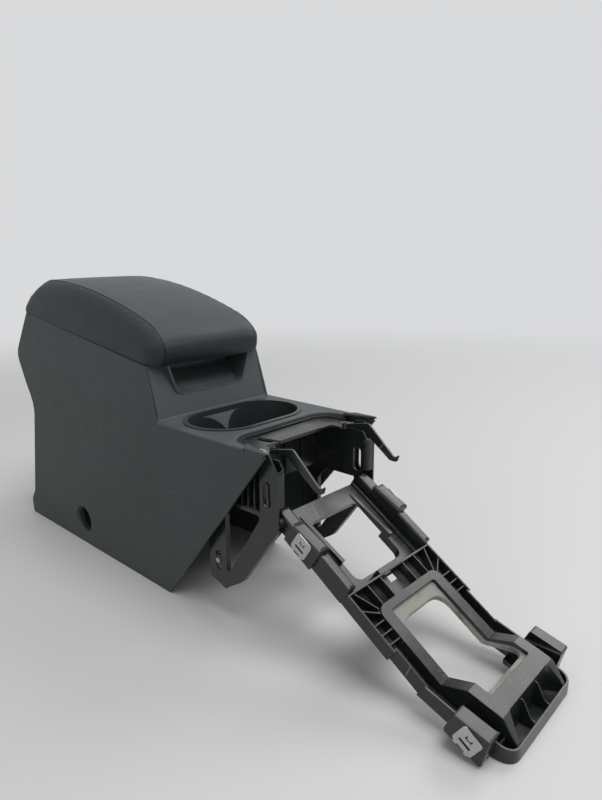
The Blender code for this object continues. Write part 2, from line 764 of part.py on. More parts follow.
def frame_column(ledge_low):
    """Inner wall of one side with its rounded corner at the front pillar."""
    front = PILLAR_FRONT_Y + SET_IN
    rear = LEG_REAR_Y - 0.004
    column = prism([
        (PLATE_X - PLATE_WALL + 0.001, front, 0.0),
        (INNER_WALL_X - PLATE_WALL, front, COLUMN_RADIUS),
        (INNER_WALL_X - PLATE_WALL, rear, 0.0),
        (INNER_WALL_X, rear, 0.0),
        (INNER_WALL_X, front + PLATE_WALL, COLUMN_RADIUS - PLATE_WALL),
        (PLATE_X - PLATE_WALL + 0.001, front + PLATE_WALL, 0.0),
    ], "Z", 0.1, 0.3)
    return keep(column, prism([
        (PILLAR_FRONT_Y - 0.001, NECK_Z, 0.0),
        (PILLAR_FRONT_Y - 0.001, PILLAR_TOP_Z - 0.0025, 0.0),
        (PILLAR_FRONT_Y + (ledge_low - PILLAR_TOP_Z) * PILLAR_CHAMFER + 0.001, ledge_low, 0.0),
        (rear + 0.001, ledge_low, 0.0),
        (rear + 0.001, FRAME_FLOOR_Z, 0.0),
        (NECK_Y, FRAME_FLOOR_Z, 0.003),
        (NECK_Y, NECK_Z, 0.0),
    ], "X", 0.0, HALF_WIDTH))


def frame_side():
    """One side of the frame: plate with its pillar and forked leg, inner wall, floor and fins."""
    face = PLATE_X - PLATE_WALL
    top = DECK_Z - TRIM_WALL - GAP
    ledge_low = DECK_Z - LEDGE_DROP - LEDGE_WALL - CLIP_WALL - 3 * GAP
    leg = prism(plate_outline(top), "X", face, PLATE_X)
    flange = prism(offset(leg_outline(), -SET_IN), "X", PLATE_X - LEG_FLANGE, face + 0.001)
    flange_space = block((0, PLATE_X), (PILLAR_FRONT_Y - 0.01, LEG_REAR_Y + 0.01), (FLANGE_TOP_Z, 0.3))
    cut(flange, prism(offset(leg_outline(), -PLATE_WALL), "X", 0.0, PLATE_X), flange_space)
    window_rim = prism(offset(leg_window(), PLATE_WALL), "X", PLATE_X - LEG_FLANGE + SET_IN, PLATE_X - 0.0005)
    rim_space = block((0, face), (PILLAR_FRONT_Y - 0.01, LEG_REAR_Y + 0.01), (FLANGE_TOP_Z, 0.3))
    cut(window_rim, rim_space)
    inner = INNER_WALL_X - 0.001
    walls = [block((inner, face + 0.001), (low, high), (FRAME_FLOOR_Z + SET_IN, ledge_low - SET_IN))
             for low, high in ((PILLAR_REAR_Y - PLATE_WALL, PILLAR_REAR_Y - SET_IN),
                               (LEG_REAR_Y - LEG_STRIP + SET_IN, LEG_REAR_Y - LEG_STRIP + PLATE_WALL))]
    floor = block((inner, PLATE_X - 0.0005), (PILLAR_REAR_Y - 0.001, LEG_REAR_Y - LEG_STRIP + 0.001),
                  (FRAME_FLOOR_Z - 0.001, FRAME_FLOOR_Z + PLATE_WALL - 0.001))
    unite(leg, flange, window_rim, frame_column(ledge_low), *walls, floor)
    for index in range(FIN_COUNT):
        fin_y = PILLAR_REAR_Y + 0.0095 + FIN_PITCH * index
        fin = block((INNER_WALL_X - 0.001, PLATE_X - 0.0006), (fin_y - FIN_WALL / 2, fin_y + FIN_WALL / 2),
                    (FRAME_FLOOR_Z, ledge_low - 2 * SET_IN))
        unite(leg, fin)
    cut(leg, prism(leg_window(), "X", PLATE_X - 0.03, PLATE_X + 0.01))
    cut(leg, obround_x(SLOT_Y, SLOT_Z, SLOT_HALF_WIDTH, SLOT_LENGTH, INNER_WALL_X - 0.01, PLATE_X + 0.001))
    screw_y = LEG_REAR_Y - LEG_STRIP * 0.55
    slot = obround_x(screw_y, LEG_SCREW_Z, 0.0046, 0.026, face - 0.001, PLATE_X + 0.001)
    cut(leg, slot)
    boss = cylinder("X", (screw_y, LEG_SCREW_Z), 0.0068, PLATE_X - LEG_FLANGE, PLATE_X - 0.0008, 20)
    bore = cylinder("X", (screw_y, LEG_SCREW_Z), SCREW_RADIUS + GAP, PLATE_X - LEG_FLANGE - 0.01,
                    PLATE_X + 0.01, 16)
    unite(leg, boss)
    cut(leg, bore)
    return leg


def obround_x(y, z, half_width, length, low, high):
    return prism(rectangle(y - half_width, y + half_width, z - length / 2, z + length / 2,
                           half_width), "X", low, high, radians(30))


def support_frame():
    """Both plates with their forked legs, and the wall that joins them behind the open front."""
    right, left = both_sides(frame_side)
    wall_half = INNER_WALL_X - PLATE_WALL / 2
    ledge_low = DECK_Z - LEDGE_DROP - LEDGE_WALL - CLIP_WALL - 3 * GAP
    back = block((-wall_half, wall_half), (BACK_WALL_Y - PLATE_WALL, BACK_WALL_Y),
                 (FRAME_FLOOR_Z + SET_IN, ledge_low - SET_IN))
    tongue = block((0.0006 - PLATE_X, PLATE_WALL - PLATE_X), (SLOT_Y - 0.0018, SLOT_Y + 0.0018),
                   (SLOT_Z - SLOT_LENGTH / 2 - 0.002, SLOT_Z + SLOT_LENGTH / 2 - 0.004))
    frame = unite(right, back, left, tongue)
    for share in (-0.6, -0.2, 0.2, 0.6):
        rib_x = share * wall_half
        rib = block((rib_x - FIN_WALL / 2, rib_x + FIN_WALL / 2),
                    (BACK_WALL_Y - PLATE_WALL - 0.006, BACK_WALL_Y - 0.001),
                    (FRAME_FLOOR_Z + 0.003, ledge_low - 0.003))
        unite(frame, rib)
    return frame


def leg_screw(side):
    """Screw through the boss of one leg."""
    screw_y = LEG_REAR_Y - LEG_STRIP * 0.55
    centre = (screw_y, LEG_SCREW_Z)
    head_low = PLATE_X - 0.0008 + GAP
    screw = cylinder("X", centre, SCREW_HEAD, head_low, head_low + 0.0018, 20)
    shank = cylinder("X", centre, SCREW_RADIUS, PLATE_X - LEG_FLANGE - 0.005, head_low + 0.001, 16)
    unite(screw, shank)
    slot = block((head_low + 0.0008, head_low + 0.003), (screw_y - 0.0005, screw_y + 0.0005),
                 (LEG_SCREW_Z - 0.006, LEG_SCREW_Z + 0.006))
    cut(screw, slot)
    return move(screw, Matrix.Scale(side, 4, (1, 0, 0)))


# Front carrier

CARRIER_FRAME = Matrix.Translation((0, CARRIER_Y, CARRIER_Z)) @ Matrix.Rotation(SLOPE, 4, "X")


def slope_point(s, n):
    """Body (y, z) of a point of the slope."""
    point = CARRIER_FRAME @ Vector((0, s, n))
    return point.y, point.z


def on_slope(item):
    return move(item, CARRIER_FRAME)


def front_top(y):
    return FRONT_TOP_Z + FRONT_SLOPE * (y - FRONT_TOP_Y)


def ring_line(depth):
    """Top line of the ring, from its rear edge over the ramp to the front of the arms, moved down."""
    rear = slope_point(RING_REAR_S, -depth)
    waist = slope_point(WAIST_S - 0.003, -depth)
    return [
        rear,
        waist,
        (FRONT_TOP_Y - 0.25 * depth, front_top(FRONT_TOP_Y) - depth),
        (ARM_FRONT_Y, front_top(ARM_FRONT_Y) - depth),
    ]


def band(top_depth, low_depth):
    """Closed outline between two depths under the ring's top line."""
    line = ring_line(top_depth) + list(reversed(ring_line(low_depth)))
    return [(y, z, 0.0) for y, z in line]


def ring_opening(half, rear_s, front_y):
    """Opening through the ring, square to the slope behind the waist and upright in front of it."""
    rear_part = prism(rectangle(-half, half, WAIST_S - 0.012, rear_s, 0.004), "Z", -0.05, 0.05)
    waist_y = slope_point(WAIST_S, 0.0)[0]
    front_part = prism(rectangle(-half, half, front_y, waist_y, 0.002), "Z", -0.01, 0.09)
    return unite(on_slope(rear_part), front_part)


def rails():
    """Closed-top rails beside the window, each with its step and its two clip boxes."""
    pieces = []
    zones = [
        (WALL_HALF - 0.011, WALL_HALF + 0.001, 0.002, 0.050, 0.0084, 0.0084, 0.0035),
        (WALL_HALF - 0.012, WALL_HALF + PAD_STEP, 0.049, 0.093, 0.0152, 0.0100, 0.0045),
        (WALL_HALF - 0.014, WALL_HALF + 0.002, 0.092, RAIL_REAR_S, 0.0046, 0.0046, 0.0035),
    ]
    for inner, outer, start, end, top_start, top_end, radius in zones:
        outline = [
            (start, -WALL_DEPTH, 0.0),
            (end, -WALL_DEPTH, 0.0),
            (end, top_end, 0.0),
            (start, top_start, 0.0),
        ]
        rail_part = prism(outline, "X", inner, outer)
        pieces.append(round_edges(rail_part, radius, lambda middle, along: middle.z > 0.001 and abs(along.z) < 0.5))
    rail = unite(*pieces)
    hollow = []
    for inner, outer, start, end, top_start, top_end, radius in zones:
        outline = [
            (start + CARRIER_WALL * 0.4, -WALL_DEPTH - 0.01, 0.0),
            (end - CARRIER_WALL * 0.4, -WALL_DEPTH - 0.01, 0.0),
            (end - CARRIER_WALL * 0.4, top_end - CARRIER_WALL - radius / 3, 0.0),
            (start + CARRIER_WALL * 0.4, top_start - CARRIER_WALL - radius / 3, 0.0),
        ]
        hollow.append(prism(outline, "X", inner + CARRIER_WALL, outer - CARRIER_WALL))
    cut(rail, *hollow)
    rib = prism([
        (WINDOW_FRONT_S + 0.026, LEDGE_N - 0.001, 0.0),
        (WINDOW_REAR_S + 0.012, LEDGE_N - 0.001, 0.0),
        (WINDOW_REAR_S + 0.012, LEDGE_N + 0.0012, 0.0),
        (WINDOW_FRONT_S + 0.026, -0.0045, 0.0),
    ], "X", WINDOW_HALF + 0.0002, WINDOW_HALF + 0.0052)
    strip = block((WALL_HALF - 0.020, WALL_HALF - 0.017), (0.001, RAIL_REAR_S - 0.0005), (LEDGE_N - 0.001, -0.0072))
    boss = cylinder("X", (RAIL_REAR_S - 0.010, -0.006), 0.0055, WALL_HALF + 0.001, PLATE_X - PLATE_WALL - GAP, 16)
    return unite(rail, rib, strip, boss)


def outer_walls():
    """Side walls of the ribbed part, with the step where it narrows."""
    narrow = WALL_HALF - WALL_STEP
    wide = block((WALL_HALF - CARRIER_WALL, WALL_HALF), (STEP_S, 0.004), (-WALL_DEPTH, 0.0))
    step = block((narrow - CARRIER_WALL, WALL_HALF), (STEP_S, STEP_S + CARRIER_WALL), (-WALL_DEPTH, 0.0))
    slim = block((narrow - CARRIER_WALL, narrow), (APRON_S, STEP_S + CARRIER_WALL), (-WALL_DEPTH, 0.0))
    flare = block((narrow - CARRIER_WALL, narrow + APRON_STEP), (APRON_S, APRON_S + CARRIER_WALL),
                  (-WALL_DEPTH, 0.0))
    return unite(wide, step, slim, flare)


def ribbed_floor():
    narrow = WALL_HALF - WALL_STEP
    plan = mirrored([
        (0.0, 0.001, 0.0),
        (WALL_HALF - 0.0004, 0.001, 0.0),
        (WALL_HALF - 0.0004, STEP_S + 0.0004, 0.0),
        (narrow - 0.0004, STEP_S + 0.0004, 0.0),
        (narrow - 0.0004, APRON_S, 0.0),
        (0.0, APRON_S, 0.0),
    ])
    return prism(plan, "Z", -WALL_DEPTH + 0.0002, -WALL_DEPTH + CARRIER_WALL)


def rib_between(start, end, low, high):
    """Thin rib standing on the slope between two plan points."""
    first, last = Vector(start), Vector(end)
    along = (last - first).normalized()
    across = Vector((-along.y, along.x)) * RIB_WALL / 2
    corners = [first - across, last - across, last + across, first + across]
    return prism([(point.x, point.y, 0.0) for point in corners], "Z", low, high)


def half_ribs():
    low = -WALL_DEPTH + 0.001
    high = -0.0012
    ribs = [rib_between((RING_HALF - 0.001, s), (WALL_HALF - 0.001, s), low, high) for s in SIDE_RIB_S]
    ribs.append(rib_between((RING_HALF - 0.003, RING_REAR_S - 0.0015), (WALL_HALF - 0.009, 0.0005), low, high))
    ribs.append(rib_between((RING_HALF - 0.001, RING_REAR_S - 0.006), (WALL_HALF - 0.001, -0.019), low, high))
    ribs += [rib_between((x, RING_REAR_S - 0.001), (x, 0.0005), low, high) for x in BAY_RIB_X]
    return ribs


def side_profile():
    """Side view of the front block's outer wall, from the waist down to the lip."""
    top_start = slope_point(APRON_S + 0.0006, 0.0)
    low_start = slope_point(APRON_S + 0.0006, -WALL_DEPTH)
    return [
        (*top_start, 0.0),
        (FRONT_TOP_Y + 0.004, FRONT_TOP_Z - 0.0136, 0.0),
        (LIP_Y + 0.016, LIP_HEIGHT + 0.0045, 0.020),
        (LIP_Y - 0.001, LIP_HEIGHT, 0.0),
        (LIP_Y - 0.001, 0.0, 0.0),
        (LIP_Y + 0.022, 0.0, 0.0),
        (*low_start, 0.0),
    ]


def lip_plan(grow=0.0):
    """Plan of the front block: an apron a little wider than the walls behind it, and the rounded lip."""
    apron = WALL_HALF - WALL_STEP + APRON_STEP
    start_y = slope_point(APRON_S + 0.0006, -WALL_DEPTH)[0]
    return offset(mirrored([
        (0.0, LIP_Y, 0.0),
        (LIP_HALF, LIP_Y, LIP_RADIUS),
        (LIP_HALF, LIP_Y + 0.026, 0.004),
        (apron, FRONT_TOP_Y + 0.0005, 0.004),
        (apron, start_y, 0.0),
        (0.0, start_y, 0.0),
    ]), grow)


def front_block():
    """Outer wall and floor of the front block, down to the lip that stands on the floor."""
    wall = prism(lip_plan(), "Z", -0.01, 0.09)
    start_y = slope_point(APRON_S, -WALL_DEPTH)[0]
    inside = offset(lip_plan(), -CARRIER_WALL)
    inside = [(u, v if v < start_y - 0.01 else start_y + 0.01, r) for u, v, r in inside]
    cut(wall, prism(inside, "Z", -0.02, 0.1))
    keep(wall, prism(side_profile(), "X", -0.1, 0.1))
    return unite(wall, front_floor())


def front_floor():
    """Floor of the front block, which slopes down from the waist and lies flat under the lip."""
    low_start = slope_point(APRON_S + 0.0006, -WALL_DEPTH)
    outline = [
        (low_start[0], low_start[1] + 0.0002, 0.0),
        (LIP_Y + 0.022, 0.0002, 0.0),
        (LIP_Y + 0.0004, 0.0002, 0.0),
        (LIP_Y + 0.0004, CARRIER_WALL, 0.0),
        (LIP_Y + 0.0215, CARRIER_WALL, 0.0),
        (low_start[0] + 0.0008, low_start[1] + CARRIER_WALL, 0.0),
    ]
    floor = prism(outline, "X", -WALL_HALF, WALL_HALF)
    return keep(floor, prism(lip_plan(-0.0004), "Z", -0.01, 0.09))


def clip_box():
    """Front clip box beside the block, with rounded edges, open underneath."""
    top_rear = FRONT_TOP_Y - 0.004
    top_front = ARM_FRONT_Y + 0.0027
    outline = [
        (top_rear, front_top(top_rear) - 0.0005, 0.0),
        (top_front, front_top(top_front), 0.0),
        (ARM_FRONT_Y + 0.0107, 0.0004, 0.003),
        (FRONT_TOP_Y + 0.0073, FRONT_TOP_Z - 0.0248, 0.004),
    ]
    inner = WALL_HALF - WALL_STEP - 0.0015
    box = prism(outline, "X", inner, BOX_OUTER)
    round_edges(box, BOX_ROUND, lambda middle, along: middle.x > BOX_OUTER - 0.0001 or
                (middle.z > front_top(middle.y) - 0.002 and abs(along.x) > 0.9))
    hollow = offset(outline, -CARRIER_WALL)
    hollow[2] = (hollow[2][0], hollow[2][1] - 0.02, 0.0)
    hollow[3] = (hollow[3][0], hollow[3][1] - 0.02, 0.0)
    cut(box, prism(hollow, "X", BOX_INNER, BOX_OUTER - CARRIER_WALL))
    inner_top = block((0.0, BOX_INNER - CARRIER_WALL), (-0.5, -0.3), (0.031, 0.1))
    return cut(box, inner_top)


def front_ribs():
    """Two ribs in the front recess, and the small ribs beside the arms."""
    outline = [
        (BAR_FRONT_Y + 0.002, front_top(BAR_FRONT_Y) - 0.003, 0.0),
        (BAR_FRONT_Y - 0.003, front_top(BAR_FRONT_Y) - 0.005, 0.004),
        (LIP_Y + 0.008, LIP_HEIGHT + 0.001, 0.006),
        (LIP_Y + 0.001, LIP_HEIGHT - 0.002, 0.0),
        (LIP_Y + 0.001, 0.001, 0.0),
        (BAR_FRONT_Y + 0.002, 0.001, 0.0),
    ]
    ribs = [prism(outline, "X", x - RIB_WALL / 2, x + RIB_WALL / 2) for x in (-0.29 * RING_HALF, 0.29 * RING_HALF)]
    for rib_y, top in ((FRONT_TOP_Y + 0.004, 0.026), (ARM_FRONT_Y + 0.0045, 0.0150)):
        for side in (-1, 1):
            span = sorted((side * (RING_HALF - 0.002), side * (LIP_HALF - 0.001)))
            ribs.append(block(span, (rib_y - RIB_WALL / 2, rib_y + RIB_WALL / 2), (0.001, top)))
    return ribs


def ring_body():
    """Ring and bar still without their openings; the bar is rounded over and falls to the lip."""
    depth = (WALL_DEPTH - CARRIER_WALL / 2) / cos(SLOPE)
    upper = [(y, z, 0.0) for y, z in ring_line(0.0)[:3]]
    lower = [(y, z, 0.0) for y, z in ring_line(depth)[:2]]
    front = [
        (BAR_FRONT_Y - 0.0015, front_top(BAR_FRONT_Y - 0.0015), 0.006),
        (LIP_Y + 0.0045, LIP_HEIGHT + 0.0025, 0.003),
        (LIP_Y + 0.0008, LIP_HEIGHT - 0.002, 0.0),
        (LIP_Y + 0.0008, 0.0008, 0.0),
        (LIP_Y + 0.021, 0.0008, 0.0),
    ]
    body = prism(upper + front + lower[::-1], "X", -RING_HALF - 0.001, RING_HALF + 0.001, radians(12))
    keep(body, on_slope(prism(rectangle(-RING_HALF, RING_HALF, -0.45, RING_REAR_S, 0.012), "Z", -0.2, 0.2)))
    return round_edges(body, NOSE_ROUND, on_nose_side)


def on_nose_side(middle, along):
    """True for the outer edges of the bar's rounded front."""
    return abs(middle.x) > RING_HALF - 0.0001 and middle.z > LIP_HEIGHT and middle.y < BAR_REAR_Y - 0.002


def front_carrier():
    """Open ladder-like moulding that runs down from the frame to its lip on the floor."""
    carrier = block((-WALL_HALF, WALL_HALF), (-CARRIER_WALL / 2, CARRIER_WALL / 2), (-WALL_DEPTH, 0.0))
    plate_half = WALL_HALF - 0.0105
    plate = block((-plate_half, plate_half), (0.0, RAIL_REAR_S), (LEDGE_N - CARRIER_WALL, LEDGE_N))
    panel_lips = [
        block((-WINDOW_HALF, WINDOW_HALF), (start, start + CARRIER_WALL), (LEDGE_N - 0.008, LEDGE_N - 0.001))
        for start in (WINDOW_REAR_S + 0.0003, RAIL_REAR_S - CARRIER_WALL - 0.0003)
    ]
    bridge = block((-0.020, 0.020), (0.0, 0.0065), (LEDGE_N - 0.001, 0.0003))
    unite(carrier, plate, *panel_lips, bridge, ribbed_floor())
    for maker in (rails, outer_walls):
        unite(carrier, *both_sides(maker))
    window = rectangle(-WINDOW_HALF, WINDOW_HALF, WINDOW_FRONT_S, WINDOW_REAR_S, 0.010)
    skirt = prism(offset(window, CARRIER_WALL), "Z", LEDGE_N - 0.010, LEDGE_N - 0.001)
    front_half = block((-0.1, 0.1), (0.0, 0.045), (-0.1, 0.1))
    unite(carrier, keep(skirt, front_half))
    cut(carrier, prism(window, "Z", -0.05, 0.05))
    on_slope(carrier)
    unite(carrier, front_block())
    unite(carrier, *both_sides(clip_box))

    unite(carrier, ring_body())
    inner_half = RING_HALF - CARRIER_WALL
    under = prism(band(RING_PLATE / cos(SLOPE), 0.06), "X", -inner_half, inner_half)
    keep(under, on_slope(block((-0.1, 0.1), (-0.4, RING_REAR_S - CARRIER_WALL), (-0.2, 0.2))))
    keep(under, block((-0.1, 0.1), (BAR_FRONT_Y + CARRIER_WALL, 0.1), (-0.1, 0.3)))
    floor_guard = prism([
        (LIP_Y, -0.1, 0.0),
        (FRONT_TOP_Y + 0.010, -0.1, 0.0),
        (FRONT_TOP_Y + 0.010, 0.0185, 0.0),
        (LIP_Y + 0.0215, CARRIER_WALL + GAP, 0.0),
        (LIP_Y, CARRIER_WALL + GAP, 0.0),
    ], "X", -0.2, 0.2)
    cut(carrier, cut(under, floor_guard))
    cut(carrier, ring_opening(RING_HALF - RING_BAND, RING_REAR_S - RING_REAR_BAND, BAR_REAR_Y))
    cut(carrier, front_recess())
    for rib in both_half(half_ribs):
        unite(carrier, on_slope(rib))
    unite(carrier, *front_ribs())
    hole = block((-0.001, 0.012), (-0.0105, -0.0025), (-0.05, -0.008))
    cut(carrier, on_slope(hole))
    return carrier


def both_half(maker):
    pieces = maker()
    mirror = [move(piece, Matrix.Scale(-1, 4, (1, 0, 0))) for piece in maker()]
    return pieces + mirror


def front_recess():
    """Rounded recess in the front of the bar."""
    rear_half = RING_HALF - 0.0135
    front_half = RING_HALF - 0.0065
    plan = [
        (-front_half, LIP_Y - 0.01, 0.0),
        (front_half, LIP_Y - 0.01, 0.0),
        (front_half, ARM_FRONT_Y - 0.004, 0.0),
        (rear_half, BAR_FRONT_Y, 0.006),
        (-rear_half, BAR_FRONT_Y, 0.006),
        (-front_half, ARM_FRONT_Y - 0.004, 0.0),
    ]
    space = prism(plan, "Z", CARRIER_WALL + 0.0005, 0.09)
    keep(space, block((-0.1, 0.1), (LIP_Y + CARRIER_WALL, 0.0), (0.0, 0.1)))
    return space


def foam_gasket():
    """Foam pad under the ring, with its own rounded opening."""
    top = RING_PLATE / cos(SLOPE) + GAP * 2
    low = top + GASKET_WALL
    half = RING_HALF - CARRIER_WALL - 2 * GAP
    pad = prism(band(top, low), "X", -half, half)
    keep(pad, on_slope(block((-0.1, 0.1), (-0.4, RING_REAR_S - CARRIER_WALL - 2 * GAP), (-0.2, 0.2))))
    keep(pad, block((-0.1, 0.1), (BAR_FRONT_Y + CARRIER_WALL + 0.004, 0.1), (-0.1, 0.3)))
    opening = RING_HALF - RING_BAND - 0.0006
    rear_s = RING_REAR_S - RING_REAR_BAND - GASKET_REACH
    rear_part = prism([
        (-opening, WAIST_S - 0.012, 0.0),
        (opening, WAIST_S - 0.012, 0.0),
        (opening, rear_s, 0.018),
        (-opening, rear_s, 0.018),
    ], "Z", -0.05, 0.05)
    waist_y = slope_point(WAIST_S, 0.0)[0]
    front_part = prism([
        (-opening, BAR_REAR_Y + 0.007, 0.008),
        (opening, BAR_REAR_Y + 0.007, 0.008),
        (opening, waist_y, 0.0),
        (-opening, waist_y, 0.0),
    ], "Z", -0.01, 0.09)
    return cut(pad, unite(on_slope(rear_part), front_part))


def spring_clip(side, middle_s, middle_n, face_x):
    """Sprung steel plate with its long slot, its tongue and two tabs, on the side of a clip box."""
    half = CLIP_SIZE / 2
    plate = prism(rectangle(-half, half, -half, half, 0.0025), "X", GAP, GAP + CLIP_WALL, radians(30))
    slot = prism(rectangle(-0.0068, 0.0068, -0.0046 - CLIP_SLOT / 2, -0.0046 + CLIP_SLOT / 2,
                           CLIP_SLOT / 2), "X", -0.01, 0.01, radians(36))
    ends = (-0.0036, 0.0036 - CLIP_CUT)
    tongue_slots = [block((-0.01, 0.01), (ends[0], ends[1] + CLIP_CUT), (0.0014, 0.0014 + CLIP_CUT))]
    tongue_slots += [block((-0.01, 0.01), (end, end + CLIP_CUT), (0.0012, 0.0052)) for end in ends]
    tabs = [block((GAP, GAP + CLIP_WALL), (y - 0.002, y + 0.002), (-half - 0.0022, -half + 0.001))
            for y in (-0.0065, 0.0065)]
    unite(plate, *tabs)
    cut(plate, slot, *tongue_slots)
    local = Matrix.Translation((face_x, middle_s, middle_n))
    on_slope(move(plate, local))
    return move(plate, Matrix.Scale(side, 4, (1, 0, 0)))


# Storage bin

def bin_plan(grow, lean_in=0.0):
    half = BIN_HALF + grow - lean_in
    front = along_rim(BIN_FRONT_Y) - grow + lean_in
    back = along_rim(BIN_BACK_Y) + grow - lean_in
    return rectangle(-half, half, front, back, 0.012 + grow)


def tub(grow, depth, top):
    """Tapered box below the parting line."""
    rings = []
    for part, level in ((1.0, -depth), (0.0, top)):
        outline = rounded(bin_plan(grow, BIN_DRAFT * part))
        rings.append([(u, v, level) for u, v in outline])
    return loft(rings)


def storage_bin():
    """Deep bin under the lid, hung from its rim between the panels."""
    inner = HALF_WIDTH - PANEL_WALL - GAP
    bin_body = tub(BIN_WALL, BIN_DEPTH, -0.001)
    rim_top = -0.0006
    front_s = along_rim(BIN_FRONT_Y - 0.008) + GAP
    rear_s = along_rim(BIN_BACK_Y) + 0.016
    rim = block((-HALF_WIDTH, HALF_WIDTH), (front_s, rear_s), (rim_top - BIN_WALL, rim_top))
    unite(bin_body, rim)
    cut(bin_body, tub(0.0, BIN_DEPTH - BIN_WALL, 0.01))
    move(bin_body, RIM_FRAME)
    side_space = lean(prism(rectangle(-inner, inner, 0.0, 0.5), "Z", 0.0, 0.45))
    return keep(bin_body, side_space)


def bin_mat():
    floor = -BIN_DEPTH + BIN_WALL + GAP
    outline = rounded(bin_plan(-0.0015, BIN_DRAFT))
    mat = loft([[(u, v, floor + level) for u, v in outline] for level in (0.0, MAT_WALL)])
    return move(mat, RIM_FRAME)


# Lid

def top_edge_z(y):
    """Height of the seam along the lid, a parabola that falls towards the front."""
    back = max(0.0, y - SEAM_REAR_Y)
    return SEAM_PEAK_Z - SEAM_FALL * (SEAM_REAR_Y - y) ** 2 - SEAM_DROP * back ** 2


def lid_ring(level, half, front, back, front_radius, back_radius, crown=0.0):
    """One ring of the lid's skin, a rounded rectangle at a share of the height under the seam."""
    ring = []
    for u, v in even_outline(half, front, back, front_radius, back_radius):
        low = rim_z(v) + LID_GAP + (HINGE_RELIEF if v > HINGE_Y + 0.002 and level == 0.0 else 0.0)
        high = top_edge_z(v)
        ring.append((u, v, low + (high - low) * level + crown))
    return ring


def even_outline(half, front, back, front_radius, back_radius, arcs=5, sides=(8, 6)):
    """Rounded rectangle with the same number of points in each arc and along each side."""
    centres = [
        (half - front_radius, front + front_radius, front_radius, -90),
        (half - back_radius, back - back_radius, back_radius, 0),
        (back_radius - half, back - back_radius, back_radius, 90),
        (front_radius - half, front + front_radius, front_radius, 180),
    ]
    points = []
    for index, (u, v, radius, start) in enumerate(centres):
        turns = [radians(start + 90 * part / arcs) for part in range(arcs + 1)]
        points += [(u + radius * cos(turn), v + radius * sin(turn)) for turn in turns]
        next_u, next_v, next_radius, next_start = centres[(index + 1) % 4]
        turn = radians(next_start)
        first = Vector(points[-1])
        last = Vector((next_u + next_radius * cos(turn), next_v + next_radius * sin(turn)))
        count = sides[index % 2]
        points += [tuple(first.lerp(last, part / count)) for part in range(1, count)]
    return points


def armrest_cushion():
    """Padded armrest: rounded nose over the recess, long sloping back, crowned top."""
    nose = LID_FRONT_Y - LID_NOSE
    tip = LID_TIP_Y
    rings = [
        lid_ring(0.00, HALF_WIDTH - 0.0055, nose + 0.0165, tip - 0.002, 0.016, 0.009),
        lid_ring(0.06, HALF_WIDTH - 0.0045, nose + 0.0085, tip, 0.020, 0.010),
        lid_ring(0.30, HALF_WIDTH - 0.0035, nose + 0.0030, tip - 0.008, 0.025, 0.012),
        lid_ring(0.55, HALF_WIDTH - 0.0040, nose + 0.0005, tip - 0.022, 0.026, 0.014),
        lid_ring(0.76, HALF_WIDTH - 0.0078, nose + 0.0050, tip - 0.037, 0.026, 0.016),
        lid_ring(0.92, HALF_WIDTH - 0.0145, nose + 0.0120, tip - 0.051, 0.024, 0.017),
        lid_ring(1.00, SEAM_HALF, nose + 0.0210, SEAM_REAR_Y, 0.022, 0.016),
        lid_ring(1.00, SEAM_HALF * 0.78, nose + 0.045, SEAM_REAR_Y - 0.025, 0.018, 0.014, CROWN * 0.5),
        lid_ring(1.00, SEAM_HALF * 0.50, nose + 0.080, SEAM_REAR_Y - 0.060, 0.014, 0.012, CROWN * 0.85),
        lid_ring(1.00, SEAM_HALF * 0.18, nose + 0.120, SEAM_REAR_Y - 0.100, 0.008, 0.008, CROWN),
    ]
    cushion = loft(rings)
    pocket = tray_plan(GAP * 2)
    space = prism(pocket, "Z", -0.02, TRAY_LIFT + TRAY_HEIGHT + GAP * 2)
    hinge_space = cylinder("X", (HINGE_Y, HINGE_Z), BARREL_RADIUS + 0.0012, -HINGE_HALF - 0.002,
                           HINGE_HALF + 0.002, 20)
    leaf_room = KNUCKLE_SPLIT + 2 * GAP
    leaf_space = block((-leaf_room, leaf_room), (along_rim(HINGE_Y) - LEAF_LENGTH, along_rim(HINGE_Y)),
                       (-0.01, TRAY_LIFT))
    return cut(cushion, move(space, RIM_FRAME), move(leaf_space, RIM_FRAME), hinge_space)


def tray_plan(grow=0.0):
    front = along_rim(LID_FRONT_Y) + 0.008
    back = along_rim(HINGE_Y) - 0.012
    return offset(rectangle(-TRAY_HALF, TRAY_HALF, front, back, 0.010), grow)


def lid_tray():
    """Hard inner cover of the lid, with the rib that drops into the mouth of the bin."""
    tray = prism(tray_plan(), "Z", TRAY_LIFT, TRAY_LIFT + TRAY_HEIGHT)
    inside = prism(offset(tray_plan(), -BIN_WALL), "Z", TRAY_LIFT + BIN_WALL, TRAY_LIFT + 0.05)
    rib_outer = prism(bin_plan(-0.0025), "Z", -TRAY_RIB, TRAY_LIFT + 0.001)
    cut(rib_outer, prism(bin_plan(-0.0025 - 0.0018), "Z", -0.05, 0.05))
    unite(tray, rib_outer)
    return move(cut(tray, inside), RIM_FRAME)


def stop_pads():
    """Rubber pads on the tray that meet the rim of the bin."""
    pads = []
    for x in (-BIN_HALF - 0.003, BIN_HALF + 0.003):
        for y in (0.115, 0.340):
            pad = cylinder("Z", (x, along_rim(y)), 0.0016, 0.0, TRAY_LIFT - GAP, 12)
            pads.append(move(pad, RIM_FRAME))
    return pads


# Hinge

def rear_wall_frame():
    """Frame on the rear wall's outer face at the rim: Y runs down the wall, Z points out of the body."""
    down = Vector((0, BULGE_Y - RIM_REAR_Y, BULGE_Z - rim_z(RIM_REAR_Y))).normalized()
    across = Vector((1, 0, 0))
    matrix = Matrix((across, down, across.cross(down))).transposed().to_4x4()
    return Matrix.Translation((0, RIM_REAR_Y, rim_z(RIM_REAR_Y))) @ matrix


